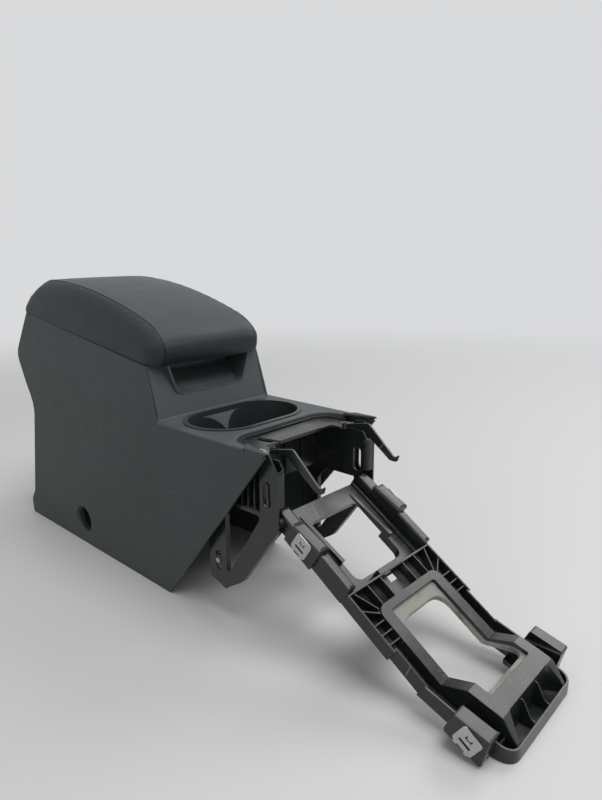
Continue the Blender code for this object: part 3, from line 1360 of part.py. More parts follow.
def hinge_bracket():
    """Fixed leaf inside the rear wall, with the two outer knuckles."""
    frame = rear_wall_frame()
    axis = frame.inverted() @ Vector((0, HINGE_Y, HINGE_Z))
    face = -PANEL_WALL - GAP
    plate = block((-HINGE_HALF, HINGE_HALF), (axis.y + BARREL_RADIUS + 0.0005, axis.y + LEAF_LENGTH),
                  (face - LEAF_WALL, face))
    for span in ((KNUCKLE_SPLIT + GAP, HINGE_HALF), (-HINGE_HALF, -KNUCKLE_SPLIT - GAP)):
        lug = block(span, (axis.y, axis.y + BARREL_RADIUS + 0.0011), (face - LEAF_WALL, face + LEAF_WALL))
        unite(plate, lug)
    move(plate, frame)
    for low, high in ((KNUCKLE_SPLIT + GAP, HINGE_HALF), (-HINGE_HALF, -KNUCKLE_SPLIT - GAP)):
        unite(plate, cylinder("X", (HINGE_Y, HINGE_Z), BARREL_RADIUS, low, high, 20))
    bore = cylinder("X", (HINGE_Y, HINGE_Z), PIN_RADIUS + GAP, -0.1, 0.1, 16)
    return cut(plate, bore)


def hinge_leaf():
    """Moving leaf under the tray, with the middle knuckle."""
    barrel = cylinder("X", (HINGE_Y, HINGE_Z), BARREL_RADIUS, -KNUCKLE_SPLIT, KNUCKLE_SPLIT, 20)
    axis = RIM_FRAME.inverted() @ Vector((0, HINGE_Y, HINGE_Z))
    top = TRAY_LIFT - GAP
    plate = block((-KNUCKLE_SPLIT, KNUCKLE_SPLIT), (axis.y - LEAF_LENGTH, axis.y), (top - LEAF_WALL, top))
    web = block((-KNUCKLE_SPLIT, KNUCKLE_SPLIT), (axis.y - BARREL_RADIUS, axis.y - BARREL_RADIUS / 3),
                (axis.z, top - LEAF_WALL / 2))
    move(unite(plate, web), RIM_FRAME)
    unite(plate, barrel)
    bore = cylinder("X", (HINGE_Y, HINGE_Z), PIN_RADIUS + GAP, -0.1, 0.1, 16)
    return cut(plate, bore)


def hinge_pin():
    return cylinder("X", (HINGE_Y, HINGE_Z), PIN_RADIUS, -HINGE_HALF - 0.001, HINGE_HALF + 0.001, 16)


def build():
    clear_scene()
    grey = plastic("grained_grey", (0.052, 0.060, 0.060), 0.62)
    black = plastic("moulded_black", (0.030, 0.033, 0.035), 0.50)
    leather = plastic("armrest_cover", (0.060, 0.062, 0.068), 0.58)
    foam = plastic("grey_foam", (0.38, 0.36, 0.31), 0.95)
    steel = plastic("spring_steel", (0.62, 0.60, 0.58), 0.32, 0.9)
    rubber = plastic("black_rubber", (0.018, 0.018, 0.018), 0.85)

    finish(side_panel(-1), "side_panel_left", grey)
    finish(side_panel(1), "side_panel_right", grey)
    finish(rear_panel(), "rear_panel", grey)
    finish(cupholder_trim(), "cupholder_trim", grey)
    finish(cup_well(), "cup_well", grey)
    finish(trim_bracket(), "trim_bracket", black)
    finish(trim_clip(-1), "trim_clip_left", steel)
    finish(trim_clip(1), "trim_clip_right", steel)
    finish(support_frame(), "support_frame", black)
    finish(leg_screw(-1), "leg_screw_left", steel)
    finish(leg_screw(1), "leg_screw_right", steel)
    finish(front_carrier(), "front_carrier", black)
    finish(foam_gasket(), "foam_gasket", foam)
    for side, word in ((-1, "left"), (1, "right")):
        rear_clip = spring_clip(side, REAR_CLIP_S, REAR_CLIP_N, WALL_HALF + PAD_STEP)
        finish(rear_clip, "spring_clip_rear_" + word, steel)
        front_clip = spring_clip(side, FRONT_CLIP_S, FRONT_CLIP_N, BOX_OUTER)
        finish(front_clip, "spring_clip_front_" + word, steel)
    finish(storage_bin(), "storage_bin", black)
    finish(bin_mat(), "bin_mat", rubber)
    finish(lid_tray(), "lid_tray", black)
    finish(armrest_cushion(), "armrest_cushion", leather)
    finish(hinge_bracket(), "hinge_bracket", steel)
    finish(hinge_leaf(), "hinge_leaf", steel)
    finish(hinge_pin(), "hinge_pin", steel)
    for number, pad in enumerate(stop_pads(), 1):
        finish(pad, "stop_pad_%d" % number, rubber)


build()
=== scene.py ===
from math import cos, radians, sin

import bmesh
import bpy
from mathutils import Matrix, Vector, noise as field
from mathutils.bvhtree import BVHTree


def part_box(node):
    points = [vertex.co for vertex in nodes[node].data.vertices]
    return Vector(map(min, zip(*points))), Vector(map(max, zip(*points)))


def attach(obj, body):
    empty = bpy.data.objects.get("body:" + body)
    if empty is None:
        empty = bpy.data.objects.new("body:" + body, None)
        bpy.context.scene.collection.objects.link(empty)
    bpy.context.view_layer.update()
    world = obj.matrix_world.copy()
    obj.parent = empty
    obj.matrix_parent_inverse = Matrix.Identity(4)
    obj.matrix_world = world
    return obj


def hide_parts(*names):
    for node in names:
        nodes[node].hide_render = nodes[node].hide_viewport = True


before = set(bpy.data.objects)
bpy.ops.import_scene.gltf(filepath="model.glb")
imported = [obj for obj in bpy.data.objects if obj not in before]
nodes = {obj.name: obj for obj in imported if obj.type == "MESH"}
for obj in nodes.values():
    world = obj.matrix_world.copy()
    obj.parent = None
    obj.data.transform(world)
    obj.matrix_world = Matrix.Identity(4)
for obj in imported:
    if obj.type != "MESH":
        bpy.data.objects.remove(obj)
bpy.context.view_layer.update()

scene = bpy.context.scene

# Viewpoint: the camera stands in front of the console on its left, a little above the armrest,
# and looks down along it, at the photograph's angle and field of view.
CAMERA_PLACE = Vector((-0.5316, -0.6079, 0.4505))
CAMERA_HEADING = radians(47.37)
CAMERA_DIP = radians(13.80)
CAMERA_ROLL = radians(-0.42)
SENSOR_HEIGHT = 24.0
FOCAL_SHARE = 0.7746

camera_data = bpy.data.cameras.new("view")
camera_data.sensor_fit = "VERTICAL"
camera_data.sensor_height = SENSOR_HEIGHT
camera_data.lens = FOCAL_SHARE * SENSOR_HEIGHT
camera_data.clip_start = 0.01
camera_data.clip_end = 60.0
camera = bpy.data.objects.new("view", camera_data)
scene.collection.objects.link(camera)
scene.camera = camera
forward = Vector((sin(CAMERA_HEADING) * cos(CAMERA_DIP),
                  cos(CAMERA_HEADING) * cos(CAMERA_DIP),
                  -sin(CAMERA_DIP)))
level = Vector((cos(CAMERA_HEADING), -sin(CAMERA_HEADING), 0.0))
upward = level.cross(forward)
turned_right = level * cos(CAMERA_ROLL) + upward * sin(CAMERA_ROLL)
turned_up = upward * cos(CAMERA_ROLL) - level * sin(CAMERA_ROLL)
camera.matrix_world = Matrix.Translation(CAMERA_PLACE) @ Matrix(
    (turned_right, turned_up, -forward)).transposed().to_4x4()

# Studio: a pale floor that fades into a pale surround, one broad lamp above the front, one on the
# right that gives the sloping tops their sheen, and a weak one on the left. Their level is plain,
# so that a surface looks about as it is coloured.
scene.view_settings.view_transform = "Standard"
FLOOR_COLOUR = (0.75, 0.75, 0.74)
FLOOR_SIZE = 30.0
FLOOR_DROP = 0.0004
FADE_START = 0.9
FADE_END = 3.0
SURROUND_COLOUR = (0.975, 0.985, 1.0)
SURROUND_LIGHT = 0.27
SURROUND_SEEN = 0.71


def new_material(name):
    """New material with its node tree and its Principled shader."""
    material = bpy.data.materials.new(name)
    material.use_nodes = True
    return material, material.node_tree, material.node_tree.nodes["Principled BSDF"]


def math_node(tree, operation, first, second=None, clamp=False):
    """Math node whose inputs are sockets or plain numbers; gives its output socket."""
    node = tree.nodes.new("ShaderNodeMath")
    node.operation = operation
    node.use_clamp = clamp
    for socket, value in zip(node.inputs, (first, second)):
        if isinstance(value, (int, float)):
            socket.default_value = value
        elif value is not None:
            tree.links.new(value, socket)
    return node.outputs[0]


def object_coordinates(tree):
    return tree.nodes.new("ShaderNodeTexCoord").outputs["Object"]


def ramp(tree, value, low, high):
    """0 below low and 1 above high, with a smooth step between."""
    node = tree.nodes.new("ShaderNodeMapRange")
    node.interpolation_type = "SMOOTHSTEP"
    node.inputs["From Min"].default_value = low
    node.inputs["From Max"].default_value = high
    tree.links.new(value, node.inputs["Value"])
    return node.outputs["Result"]


def seen_rays(tree):
    """1 for rays that show the surround: straight from the camera, off gloss or through glass."""
    path = tree.nodes.new("ShaderNodeLightPath")
    straight, gloss = path.outputs["Is Camera Ray"], path.outputs["Is Glossy Ray"]
    either = math_node(tree, "MAXIMUM", straight, gloss)
    return math_node(tree, "MAXIMUM", either, path.outputs["Is Transmission Ray"])


def mix_shaders(tree, factor, first, second):
    node = tree.nodes.new("ShaderNodeMixShader")
    for socket, value in zip(node.inputs, (factor, first, second)):
        tree.links.new(value, socket)
    return node.outputs[0]


bpy.ops.object.select_all(action="DESELECT")
bpy.ops.mesh.primitive_plane_add(size=FLOOR_SIZE, location=(0.0, 0.0, -FLOOR_DROP))
floor = bpy.context.object
floor.name = "floor"
floor_paint, tree, shader = new_material("floor_paint")
shader.inputs["Base Color"].default_value = (*FLOOR_COLOUR, 1.0)
shader.inputs["Roughness"].default_value = 0.55
glow = tree.nodes.new("ShaderNodeEmission")
glow.inputs["Color"].default_value = (*SURROUND_COLOUR, 1.0)
glow.inputs["Strength"].default_value = SURROUND_SEEN
reach = tree.nodes.new("ShaderNodeVectorMath")
reach.operation = "LENGTH"
tree.links.new(object_coordinates(tree), reach.inputs[0])
far_off = ramp(tree, reach.outputs["Value"], FADE_START, FADE_END)
fade = math_node(tree, "MULTIPLY", far_off, seen_rays(tree))
tree.links.new(mix_shaders(tree, fade, shader.outputs[0], glow.outputs[0]),
               tree.nodes["Material Output"].inputs["Surface"])
floor.data.materials.append(floor_paint)

scene.world = bpy.data.worlds.new("surround")
scene.world.use_nodes = True
tree = scene.world.node_tree
lighting = tree.nodes["Background"]
lighting.inputs["Color"].default_value = (*SURROUND_COLOUR, 1.0)
lighting.inputs["Strength"].default_value = SURROUND_LIGHT
seen = tree.nodes.new("ShaderNodeBackground")
seen.inputs["Color"].default_value = (*SURROUND_COLOUR, 1.0)
seen.inputs["Strength"].default_value = SURROUND_SEEN
tree.links.new(mix_shaders(tree, seen_rays(tree), lighting.outputs[0], seen.outputs[0]),
               tree.nodes["World Output"].inputs["Surface"])


def soft_lamp(name, place, aim, size, power):
    """Round area lamp at a place, turned towards its aim."""
    data = bpy.data.lights.new(name, "AREA")
    data.shape = "DISK"
    data.size = size
    data.energy = power
    lamp = bpy.data.objects.new(name, data)
    turn = (Vector(aim) - Vector(place)).to_track_quat("-Z", "Y")
    lamp.matrix_world = Matrix.Translation(place) @ turn.to_matrix().to_4x4()
    scene.collection.objects.link(lamp)


soft_lamp("overhead", place=(0.0, -1.2, 3.0), aim=(0.0, 0.0, 0.15), size=2.2, power=50.0)
soft_lamp("right", place=(2.4, -0.5, 2.2), aim=(0.0, -0.15, 0.15), size=1.8, power=25.0)
soft_lamp("left", place=(-2.8, 0.4, 1.6), aim=(0.0, 0.1, 0.2), size=1.6, power=8.0)

# Body skins: the two side panels and the rear panel are thin injection mouldings in one dark grey
# grained plastic, matt, with a few light handling marks. They are clipped to the bin and the deck.
SKIN_COLOUR = (0.038, 0.0455, 0.046)
# Pale tone of dust, which on what faces up also stands for a painted sheen.
DUST_AND_SHEEN_COLOUR = (0.26, 0.25, 0.235)
SCRATCH_COLOUR = (0.21, 0.22, 0.22)
TONE_LOW = 0.86
TONE_HIGH = 1.16
GLOSS_SPREAD = 0.16
DUST_DULLS = 0.3
# Edge rub: lighter edges, partly wear and partly a painted edge highlight.
RUB_AND_HIGHLIGHT_GAIN = 2.6
RUB_AND_HIGHLIGHT_BASE = 0.01
EDGE_RADIUS = 0.0007
RUB_AND_HIGHLIGHT_RADIUS = 0.0011
SCRATCH_THIN = 0.0005
SCRATCH_WIDE = 0.0035


def effect_group(name, inputs, outputs):
    """Empty shader group with named float inputs and outputs, and its two end nodes."""
    group = bpy.data.node_groups.new(name, "ShaderNodeTree")
    for label, value in inputs:
        socket = group.interface.new_socket(label, in_out="INPUT", socket_type="NodeSocketFloat")
        socket.default_value = value
    for label in outputs:
        group.interface.new_socket(label, in_out="OUTPUT", socket_type="NodeSocketFloat")
    return group, group.nodes.new("NodeGroupInput"), group.nodes.new("NodeGroupOutput")


def noise(tree, coordinates, scale, detail=2.0, roughness=0.5, stretch=(1.0, 1.0, 1.0)):
    """Soft noise from 0 to 1; a stretch below 1 draws it out along that axis."""
    mapping = tree.nodes.new("ShaderNodeMapping")
    mapping.inputs["Scale"].default_value = stretch
    tree.links.new(coordinates, mapping.inputs["Vector"])
    texture = tree.nodes.new("ShaderNodeTexNoise")
    texture.inputs["Scale"].default_value = scale
    texture.inputs["Detail"].default_value = detail
    texture.inputs["Roughness"].default_value = roughness
    tree.links.new(mapping.outputs[0], texture.inputs["Vector"])
    return texture.outputs["Fac"]


def grain_group():
    """Pebbled grain: rounded cells with fine creases between them."""
    group, start, end = effect_group("pebble_grain", [("Scale", 700.0), ("Fine", 0.35)], ["Height"])
    where = object_coordinates(group)
    cells = group.nodes.new("ShaderNodeTexVoronoi")
    cells.feature = "SMOOTH_F1"
    cells.inputs["Smoothness"].default_value = 0.35
    group.links.new(where, cells.inputs["Vector"])
    group.links.new(start.outputs["Scale"], cells.inputs["Scale"])
    fine = noise(group, where, 1800.0, 2.0)
    pebble = math_node(group, "SUBTRACT", 1.0, cells.outputs["Distance"])
    speckle = math_node(group, "MULTIPLY", fine, start.outputs["Fine"])
    group.links.new(math_node(group, "ADD", pebble, speckle), end.inputs["Height"])
    return group


def edge_rub_and_highlight_group():
    """Mask of the rub along sharp edges, which also serves as a painted edge highlight, broken up
    so that it looks worn and not drawn.
    """
    group, start, end = effect_group("edge_rub_and_highlight", [("Break", 60.0)], ["Mask"])
    where = object_coordinates(group)
    rounding = group.nodes.new("ShaderNodeBevel")
    rounding.samples = 4
    rounding.inputs["Radius"].default_value = RUB_AND_HIGHLIGHT_RADIUS
    flat = group.nodes.new("ShaderNodeNewGeometry")
    across = group.nodes.new("ShaderNodeVectorMath")
    across.operation = "DOT_PRODUCT"
    group.links.new(rounding.outputs[0], across.inputs[0])
    group.links.new(flat.outputs["Normal"], across.inputs[1])
    turned = math_node(group, "SUBTRACT", 1.0, across.outputs["Value"])
    edge = ramp(group, turned, 0.03, 0.22)
    patches = group.nodes.new("ShaderNodeTexNoise")
    patches.inputs["Detail"].default_value = 3.0
    group.links.new(where, patches.inputs["Vector"])
    group.links.new(start.outputs["Break"], patches.inputs["Scale"])
    patchy = ramp(group, patches.outputs["Fac"], 0.40, 0.68)
    group.links.new(math_node(group, "MULTIPLY", edge, patchy), end.inputs["Mask"])
    return group


def hairlines(tree, where, scale, stretch):
    """Thin lines where a stretched noise crosses its middle."""
    across = noise(tree, where, scale, 1.0, 0.5, stretch)
    swing = math_node(tree, "ABSOLUTE", math_node(tree, "SUBTRACT", across, 0.5))
    return math_node(tree, "SUBTRACT", 1.0, ramp(tree, swing, SCRATCH_THIN, SCRATCH_WIDE))


def handling_group():
    """Masks of settled dust, which lies on what faces up and there also serves as a painted sheen,
    and of hairline scratches.
    """
    group, start, end = effect_group("handling", [("Dust", 0.5), ("Scratches", 0.5)],
                                     ["Dust", "Scratches"])
    where = object_coordinates(group)
    facing = group.nodes.new("ShaderNodeNewGeometry")
    split = group.nodes.new("ShaderNodeSeparateXYZ")
    group.links.new(facing.outputs["Normal"], split.inputs[0])
    up = ramp(group, split.outputs["Z"], 0.15, 0.95)
    specks = ramp(group, noise(group, where, 420.0, 4.0, 0.7), 0.56, 0.72)
    drifts = ramp(group, noise(group, where, 14.0, 4.0, 0.6), 0.42, 0.70)
    lying = math_node(group, "ADD", math_node(group, "MULTIPLY", specks, 0.6),
                      math_node(group, "MULTIPLY", drifts, 0.5))
    settled_and_sheen = math_node(group, "MULTIPLY", up, lying)
    dust_and_sheen = math_node(group, "MULTIPLY", settled_and_sheen, start.outputs["Dust"], clamp=True)
    group.links.new(dust_and_sheen, end.inputs["Dust"])
    lines = hairlines(group, where, 16.0, (1.0, 0.35, 0.7))
    others = hairlines(group, where, 12.0, (0.4, 1.0, 0.9))
    few = ramp(group, noise(group, where, 26.0, 2.0), 0.60, 0.70)
    marks = math_node(group, "MULTIPLY", math_node(group, "MAXIMUM", lines, others), few)
    scratches = math_node(group, "MULTIPLY", marks, start.outputs["Scratches"], clamp=True)
    group.links.new(scratches, end.inputs["Scratches"])
    return group


PEBBLE = grain_group()
EDGE_RUB_AND_HIGHLIGHT = edge_rub_and_highlight_group()
HANDLING = handling_group()


def place_group(tree, group, **values):
    """One use of a shader group, with this material's values on its inputs."""
    node = tree.nodes.new("ShaderNodeGroup")
    node.node_tree = group
    for label, value in values.items():
        node.inputs[label].default_value = value
    return node


def toned(colour, share):
    """The colour made darker or lighter by one factor."""
    return tuple(part * share for part in colour)


def mix_colour(tree, factor, first, second):
    """Mix of two colours, each a plain triple or a socket, on the node's colour sockets 6 and 7."""
    node = tree.nodes.new("ShaderNodeMix")
    node.data_type = "RGBA"
    for socket, value in ((node.inputs[6], first), (node.inputs[7], second)):
        if isinstance(value, tuple):
            socket.default_value = (*value, 1.0)
        else:
            tree.links.new(value, socket)
    if isinstance(factor, (int, float)):
        node.inputs[0].default_value = factor
    else:
        tree.links.new(factor, node.inputs[0])
    return node.outputs[2]


def bump(tree, height, strength, distance, normal=None):
    node = tree.nodes.new("ShaderNodeBump")
    node.inputs["Strength"].default_value = strength
    node.inputs["Distance"].default_value = distance
    tree.links.new(height, node.inputs["Height"])
    if normal is not None:
        tree.links.new(normal, node.inputs["Normal"])
    return node.outputs[0]


def moulded_plastic(name, colour, roughness, grain, depth, dust_and_sheen, scratches, rub_and_highlight):
    """Moulded plastic with its grain, drifts of tone, rubbed edges that also carry a painted
    highlight, dust that also paints a sheen on what faces up, and scratches.
    """
    material, tree, shader = new_material(name)
    where = object_coordinates(tree)
    drift = noise(tree, where, 7.0, 3.0)
    body = mix_colour(tree, drift, toned(colour, TONE_LOW), toned(colour, TONE_HIGH))
    rub_and_highlight_node = place_group(tree, EDGE_RUB_AND_HIGHLIGHT)
    # Edges lightened for wear and as a painted edge highlight.
    rubbed_and_highlit = mix_colour(tree, math_node(tree, "MULTIPLY", rub_and_highlight_node.outputs["Mask"], rub_and_highlight), body,
                        tuple(part + RUB_AND_HIGHLIGHT_BASE for part in toned(colour, RUB_AND_HIGHLIGHT_GAIN)))
    handled = place_group(tree, HANDLING, Dust=dust_and_sheen, Scratches=scratches)
    scratched = mix_colour(tree, handled.outputs["Scratches"], rubbed_and_highlit, SCRATCH_COLOUR)
    # Dust on what faces up, which also paints the sheen of the tops.
    dusty_with_sheen = mix_colour(tree, handled.outputs["Dust"], scratched, DUST_AND_SHEEN_COLOUR)
    tree.links.new(dusty_with_sheen, shader.inputs["Base Color"])
    mottled = math_node(tree, "MULTIPLY_ADD", noise(tree, where, 45.0, 4.0), GLOSS_SPREAD)
    mottled.node.inputs[2].default_value = roughness - GLOSS_SPREAD / 2
    dulled = math_node(tree, "MULTIPLY", handled.outputs["Dust"], DUST_DULLS)
    tree.links.new(math_node(tree, "ADD", mottled, dulled), shader.inputs["Roughness"])
    rounding = tree.nodes.new("ShaderNodeBevel")
    rounding.samples = 4
    rounding.inputs["Radius"].default_value = EDGE_RADIUS
    pebbles = place_group(tree, PEBBLE, Scale=grain)
    grained = bump(tree, pebbles.outputs["Height"], 0.55, depth, rounding.outputs[0])
    tree.links.new(grained, shader.inputs["Normal"])
    return material


def coat(material, *names):
    """Give CAD nodes this material in every slot."""
    for name in names:
        for slot in nodes[name].material_slots:
            slot.material = material


skin = moulded_plastic("grained_skin", SKIN_COLOUR, roughness=0.60, grain=820.0, depth=0.00012,
                       dust_and_sheen=0.05, scratches=0.30, rub_and_highlight=0.35)
coat(skin, "side_panel_left", "side_panel_right", "rear_panel")

# Cup holder deck: one moulding with the slanted face and the finger recess, in the same grained
# plastic, with the smoother cup tub dropped into it. Painted shade darkens its joint to the panels.
DECK_COLOUR = (0.058, 0.069, 0.074)
TUB_COLOUR = (0.028, 0.033, 0.035)
# GAP_SHADE is the colour of the painted shade along the gap to the side panels.
GAP_SHADE = (0.004, 0.005, 0.005)
GAP_LINE = 0.0030
GAP_BLUR = 0.0003
GAP_FOOT = 0.002
PANEL_AND_GAP = 0.0031
FACE_FOOT_Y = 0.0415

deck = moulded_plastic("grained_deck", DECK_COLOUR, roughness=0.50, grain=820.0, depth=0.00010,
                       dust_and_sheen=0.30, scratches=0.35, rub_and_highlight=0.45)
coat(deck, "cupholder_trim")


def shade_gap(material, rim_x):
    """Paint shade on the sides of the slanted face, along the gap to the side panels, where it lies
    in shade.
    """
    tree = material.node_tree
    colour = tree.nodes["Principled BSDF"].inputs["Base Color"]
    unshaded = colour.links[0].from_socket
    split = tree.nodes.new("ShaderNodeSeparateXYZ")
    tree.links.new(object_coordinates(tree), split.inputs[0])
    outward = math_node(tree, "ABSOLUTE", split.outputs["X"])
    beside = ramp(tree, outward, rim_x - GAP_LINE - GAP_BLUR, rim_x - GAP_LINE + GAP_BLUR)
    above = ramp(tree, split.outputs["Y"], FACE_FOOT_Y, FACE_FOOT_Y + GAP_FOOT)
    shaded = math_node(tree, "MULTIPLY", beside, above)
    # Painted shade: the face turns dark in a strip along the gap to the side panels.
    tree.links.new(mix_colour(tree, shaded, unshaded, GAP_SHADE), colour)


shade_gap(deck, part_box("cupholder_trim")[1].x - PANEL_AND_GAP)
tub = moulded_plastic("smooth_tub", TUB_COLOUR, roughness=0.42, grain=1400.0, depth=0.00004,
                      dust_and_sheen=0.25, scratches=0.25, rub_and_highlight=0.5)
coat(tub, "cup_well")

# Bracket, frame and carrier: plain black mouldings that the car hides, glossier where the tool
# was smooth, scuffed along their edges, which also carry a painted highlight, and dusty on top,
# where the dust also stands for a painted sheen.
STRUCTURE_COLOUR = (0.016, 0.019, 0.021)
INSIDE_COLOUR = (0.024, 0.026, 0.027)

structure = moulded_plastic("plain_structure", STRUCTURE_COLOUR, roughness=0.26, grain=300.0,
                            depth=0.00003, dust_and_sheen=0.50, scratches=0.75, rub_and_highlight=0.85)
coat(structure, "trim_bracket", "support_frame", "front_carrier")
inside = moulded_plastic("plain_inside", INSIDE_COLOUR, roughness=0.52, grain=900.0, depth=0.00008,
                         dust_and_sheen=0.15, scratches=0.2, rub_and_highlight=0.4)
coat(inside, "storage_bin", "lid_tray")

# Clips, screws and hinge: small parts in thin zinc-plated steel, a little dulled and with fine
# rolling marks along the sheet.
ZINC_COLOUR = (0.54, 0.52, 0.51)
ROLLED_SPREAD = 0.25


def plated_steel(name, colour, roughness):
    """Sheet steel with a cloudy plating and streaks left by the rolls."""
    material, tree, shader = new_material(name)
    where = object_coordinates(tree)
    rolled = noise(tree, where, 260.0, 3.0, 0.6, (1.0, 0.08, 0.08))
    cloudy = noise(tree, where, 60.0, 3.0)
    plating = mix_colour(tree, cloudy, toned(colour, 0.82), colour)
    tree.links.new(plating, shader.inputs["Base Color"])
    streaks = math_node(tree, "MULTIPLY", rolled, ROLLED_SPREAD)
    tree.links.new(math_node(tree, "ADD", streaks, roughness - 0.12), shader.inputs["Roughness"])
    shader.inputs["Metallic"].default_value = 0.85
    tree.links.new(bump(tree, rolled, 0.25, 0.00003), shader.inputs["Normal"])
    return material


plated = plated_steel("plated_steel", ZINC_COLOUR, roughness=0.36)
coat(plated, "spring_clip_rear_left", "spring_clip_rear_right",
     "spring_clip_front_left", "spring_clip_front_right",
     "trim_clip_left", "trim_clip_right", "leg_screw_left", "leg_screw_right",
     "hinge_bracket", "hinge_leaf", "hinge_pin")

# Rubber parts: the loose mat in the bin and the four stops pushed into the lid's tray, matt black
# with a soft bloom of dust.
RUBBER_COLOUR = (0.016, 0.016, 0.017)

rubber = moulded_plastic("soft_rubber", RUBBER_COLOUR, roughness=0.78, grain=500.0, depth=0.00006,
                         dust_and_sheen=0.5, scratches=0.0, rub_and_highlight=0.0)
coat(rubber, "bin_mat", "stop_pad_1", "stop_pad_2", "stop_pad_3", "stop_pad_4")

# Foam gasket: a die-cut pad of open grey foam glued under the ring, its edges softened and its
# face speckled with lint.
FOAM_EDGE = 0.0012
FOAM_VOXEL = 0.0016
FOAM_PORES = 260.0
FOAM_DEPTH = 0.00035
FOAM_INWARD = 0.6
FOAM_DARK = (0.25, 0.245, 0.22)
FOAM_PALE = (0.52, 0.51, 0.46)
FOAM_STAIN = (0.21, 0.19, 0.16)
LINT_COLOUR = (0.06, 0.055, 0.045)
MERGE = 0.00002


def node_copy(name, piece_name):
    """Merged copy of a CAD node's mesh as an object of its own, ready to be worked on."""
    bpy.ops.object.select_all(action="DESELECT")
    piece = bpy.data.objects.new(piece_name, nodes[name].data.copy())
    scene.collection.objects.link(piece)
    piece.data.materials.clear()
    bpy.context.view_layer.objects.active = piece
    piece.select_set(True)
    bpy.ops.object.mode_set(mode="EDIT")
    bpy.ops.mesh.select_all(action="SELECT")
    bpy.ops.mesh.remove_doubles(threshold=MERGE)
    bpy.ops.mesh.tris_convert_to_quads()
    bpy.ops.object.mode_set(mode="OBJECT")
    return piece


def apply_all(piece):
    """Apply the piece's modifiers in their order."""
    bpy.ops.object.select_all(action="DESELECT")
    bpy.context.view_layer.objects.active = piece
    piece.select_set(True)
    for modifier in list(piece.modifiers):
        bpy.ops.object.modifier_apply(modifier=modifier.name)


gasket = node_copy("foam_gasket", "gasket_foam")
softened = gasket.modifiers.new("soft_edges", "BEVEL")
softened.width = FOAM_EDGE
softened.segments = 2
softened.limit_method = "ANGLE"
softened.angle_limit = radians(40)
apply_all(gasket)
evened = gasket.modifiers.new("even", "REMESH")
evened.mode = "VOXEL"
evened.voxel_size = FOAM_VOXEL
apply_all(gasket)


def roughen(piece, scale, depth):
    """Push the surface mostly in, and a little out, by a smooth noise, as open foam is cut."""
    shape = bmesh.new()
    shape.from_mesh(piece.data)
    shape.normal_update()
    moves = [vertex.normal * (field.noise(vertex.co * scale) - FOAM_INWARD) * depth
             for vertex in shape.verts]
    for vertex, push in zip(shape.verts, moves):
        vertex.co += push
    shape.to_mesh(piece.data)
    shape.free()


roughen(gasket, FOAM_PORES, FOAM_DEPTH)


def foam_material():
    """Open grey foam with stains and specks of lint."""
    material, tree, shader = new_material("open_foam")
    where = object_coordinates(tree)
    cells = noise(tree, where, 900.0, 3.0, 0.7)
    stains = noise(tree, where, 35.0, 4.0, 0.6)
    tone = mix_colour(tree, cells, FOAM_DARK, FOAM_PALE)
    tone = mix_colour(tree, ramp(tree, stains, 0.45, 0.75), tone, FOAM_STAIN)
    specks = ramp(tree, noise(tree, where, 520.0, 2.0), 0.68, 0.74)
    tone = mix_colour(tree, specks, tone, LINT_COLOUR)
    tree.links.new(tone, shader.inputs["Base Color"])
    shader.inputs["Roughness"].default_value = 0.95
    shader.inputs["Specular IOR Level"].default_value = 0.15
    tree.links.new(bump(tree, cells, 0.9, 0.0006), shader.inputs["Normal"])
    return material


gasket.data.materials.append(foam_material())
gasket.data.shade_smooth()
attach(gasket, "console")
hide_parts("foam_gasket")

# Armrest: foam on a hard tray under a soft grained cover, pulled tight and clipped round the tray's
# edge. A wide strip runs over the top and down the front, and a sunk seam on each side joins it to
# the side pieces, so the foam swells a little between the seams.
SEAM_X = 0.0785
SEAM_RADIUS = 0.0011
SEAM_STEP = 0.004
SEAM_FRONT = 0.040
SEAM_CORE = 0.0012
SEAM_HOLD = 0.0045
RIM_DROP = 0.008
RIM_CORE = 0.004
RIM_HOLD = 0.014
RIM_RUN = 0.1
UNDERSIDE = -0.4
COVER_VOXEL = 0.005
SLIMMER = 0.0014
SWELL_CAP = 0.0035
SETTLE_FRAMES = 20
OUTSIDE = 0.05
# Cover colours: painted light on the top and painted shade on the sides and front.
COVER_LIT_TOP = (0.065, 0.076, 0.085)
COVER_SHADED_SIDE = (0.016, 0.0235, 0.0265)
COVER_ROUGHNESS = 0.41
COVER_SPREAD = 0.14
armrest_low, armrest_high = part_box("armrest_cushion")


def seam_path(side):
    """Points of a seam on the cover, from the bottom of the front over the top to the rear."""
    cover = BVHTree.FromObject(armrest, bpy.context.evaluated_depsgraph_get())
    x = side * SEAM_X
    points = []
    rise = armrest_low.z + SEAM_STEP
    while rise < armrest_low.z + SEAM_FRONT:
        hit = cover.ray_cast(Vector((x, armrest_low.y - OUTSIDE, rise)), Vector((0, 1, 0)))[0]
        if hit is not None:
            points.append(hit)
        rise += SEAM_STEP
    y = points[-1].y + SEAM_STEP
    while y < armrest_high.y - SEAM_STEP:
        hit = cover.ray_cast(Vector((x, y, armrest_high.z + OUTSIDE)), Vector((0, 0, -1)))[0]
        if hit is not None:
            points.append(hit)
        y += SEAM_STEP
    return points


def tube(name, points, radius):
    """Round tube along points, closed at its ends, made from a curve."""
    curve = bpy.data.curves.new(name, "CURVE")
    curve.dimensions = "3D"
    curve.bevel_depth = radius
    curve.bevel_resolution = 2
    curve.use_fill_caps = True
    line = curve.splines.new("POLY")
    line.points.add(len(points) - 1)
    for place, point in zip(line.points, points):
        place.co = (*point, 1.0)
    holder = bpy.data.objects.new(name, curve)
    scene.collection.objects.link(holder)
    bpy.ops.object.select_all(action="DESELECT")
    bpy.context.view_layer.objects.active = holder
    holder.select_set(True)
    bpy.ops.object.convert(target="MESH")
    return bpy.context.object


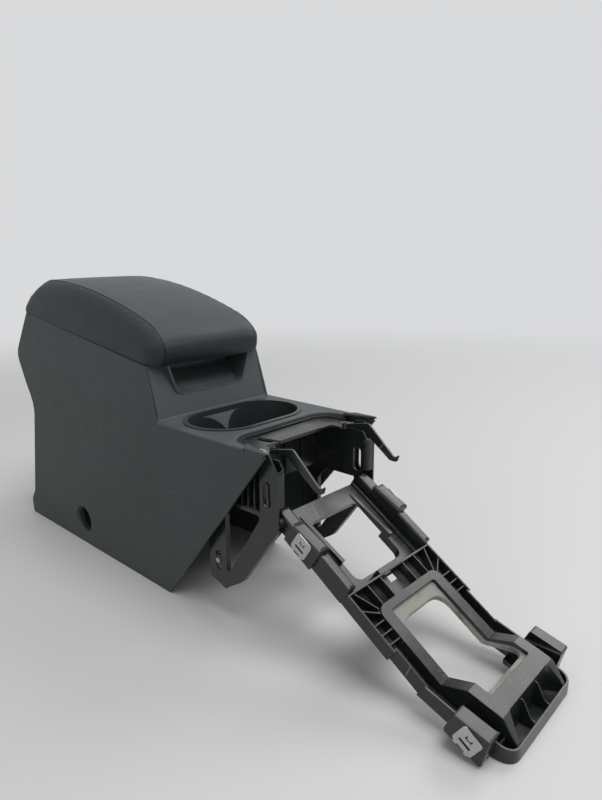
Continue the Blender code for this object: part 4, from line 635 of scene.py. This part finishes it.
def rim_plane(piece):
    """Point and upward normal of the plane in which the cover turns under the tray."""
    places = [vertex.co for vertex in piece.data.vertices]
    lowest = min(places, key=lambda place: place.z)
    slope = min((place.z - lowest.z) / (place.y - lowest.y) for place in places
                if place.y > lowest.y + RIM_RUN)
    return lowest.copy(), Vector((0.0, -slope, 1.0)).normalized()


def subdivide(piece, levels):
    """Smooth the piece by rounds of subdivision, applied to its mesh."""
    smoother = piece.modifiers.new("smooth", "SUBSURF")
    smoother.levels = smoother.render_levels = levels
    apply_all(piece)


def held_shares(piece, rim_point, rim_normal):
    """For each point: 1 at the rim and along a seam, less beside them, 0 where it is free."""
    shares = []
    for vertex in piece.data.vertices:
        from_rim = (rim_normal.dot(vertex.co - rim_point) - RIM_CORE) / RIM_HOLD
        from_seam = (abs(abs(vertex.co.x) - SEAM_X) - SEAM_CORE) / SEAM_HOLD
        share = 1.0 - min(from_rim, from_seam, 1.0)
        shares.append(1.0 if vertex.normal.z < UNDERSIDE else min(1.0, share))
    return shares


def swell(piece, shares):
    """Press the cover out from inside as cloth, and cap how far each point may move."""
    held = piece.vertex_groups.new(name="held")
    for vertex, share in zip(piece.data.vertices, shares):
        vertex.co -= vertex.normal * SLIMMER * (1.0 - share)
        held.add([vertex.index], share, "REPLACE")
    before = [vertex.co.copy() for vertex in piece.data.vertices]
    cloth = piece.modifiers.new("cover", "CLOTH")
    cloth.settings.quality = 6
    cloth.settings.mass = 0.35
    cloth.settings.tension_stiffness = 25.0
    cloth.settings.compression_stiffness = 25.0
    cloth.settings.bending_stiffness = 6.0
    cloth.settings.use_pressure = True
    cloth.settings.uniform_pressure_force = 4.0
    cloth.settings.vertex_group_mass = "held"
    cloth.settings.effector_weights.gravity = 0.0
    cloth.collision_settings.use_collision = False
    for number in range(1, SETTLE_FRAMES + 1):
        scene.frame_set(number)
    settled_and_sheen = piece.evaluated_get(bpy.context.evaluated_depsgraph_get()).data
    after = [vertex.co.copy() for vertex in settled_and_sheen.vertices]
    piece.modifiers.remove(cloth)
    scene.frame_set(1)
    for vertex, old, new in zip(piece.data.vertices, before, after):
        step = new - old
        if step.length > SWELL_CAP:
            step *= SWELL_CAP / step.length
        vertex.co = old + step
    piece.vertex_groups.remove(held)


# The bottom is dropped below the rim before the remesh and cut off again after it, so that the rim
# stays straight and sharp.
armrest = node_copy("armrest_cushion", "armrest_cover")
rim_point, rim_normal = rim_plane(armrest)
for vertex in armrest.data.vertices:
    if rim_normal.dot(vertex.co - rim_point) < RIM_DROP / 10:
        vertex.co.z -= RIM_DROP
evened = armrest.modifiers.new("even", "REMESH")
evened.mode = "VOXEL"
evened.voxel_size = COVER_VOXEL
apply_all(armrest)
swell(armrest, held_shares(armrest, rim_point, rim_normal))
subdivide(armrest, 1)
bpy.ops.object.mode_set(mode="EDIT")
bpy.ops.mesh.select_all(action="SELECT")
bpy.ops.mesh.bisect(plane_co=rim_point, plane_no=rim_normal, use_fill=True, clear_inner=True)
bpy.ops.object.mode_set(mode="OBJECT")

grooves = [tube("seam_groove", seam_path(side), SEAM_RADIUS) for side in (-1, 1)]
for groove in grooves:
    carve = armrest.modifiers.new("carve", "BOOLEAN")
    carve.operation = "DIFFERENCE"
    carve.object = groove
apply_all(armrest)
for groove in grooves:
    bpy.data.objects.remove(groove, do_unlink=True)


def cover_material():
    """Soft grained cover, painted paler on top where light falls on it and darker on its sides and
    front, which lie in shade.
    """
    material, tree, shader = new_material("armrest_cover")
    where = object_coordinates(tree)
    facing = tree.nodes.new("ShaderNodeNewGeometry")
    split = tree.nodes.new("ShaderNodeSeparateXYZ")
    tree.links.new(facing.outputs["Normal"], split.inputs[0])
    # Painted light and shade: faces turned up take the lit top colour, the others the shaded side
    # colour.
    lit_top = ramp(tree, split.outputs["Z"], 0.45, 0.92)
    cloud = noise(tree, where, 9.0, 3.0)
    shaded_side_tone = mix_colour(tree, cloud, toned(COVER_SHADED_SIDE, 0.9), toned(COVER_SHADED_SIDE, 1.12))
    lit_top_tone = mix_colour(tree, cloud, toned(COVER_LIT_TOP, 0.9), toned(COVER_LIT_TOP, 1.1))
    tone = mix_colour(tree, lit_top, shaded_side_tone, lit_top_tone)
    pebbles = place_group(tree, PEBBLE, Scale=620.0, Fine=0.5)
    raised = ramp(tree, pebbles.outputs["Height"], 0.55, 0.95)
    # Painted shade in the creases between the grain's pebbles.
    crease_shade = math_node(tree, "MULTIPLY", math_node(tree, "SUBTRACT", 1.0, raised), 0.35)
    tone = mix_colour(tree, crease_shade, tone, toned(COVER_SHADED_SIDE, 0.45))
    tree.links.new(tone, shader.inputs["Base Color"])
    handled = math_node(tree, "MULTIPLY", noise(tree, where, 30.0, 3.0), COVER_SPREAD)
    tree.links.new(math_node(tree, "ADD", handled, COVER_ROUGHNESS), shader.inputs["Roughness"])
    shader.inputs["Specular IOR Level"].default_value = 0.34
    slack = noise(tree, where, 22.0, 2.0)
    soft = bump(tree, slack, 0.25, 0.0008)
    grained = bump(tree, pebbles.outputs["Height"], 0.5, 0.00022, soft)
    tree.links.new(grained, shader.inputs["Normal"])
    return material


armrest.data.materials.append(cover_material())
armrest.data.shade_smooth()
armrest.data.set_sharp_from_angle(angle=radians(40))
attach(armrest, "armrest")
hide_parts("armrest_cushion")
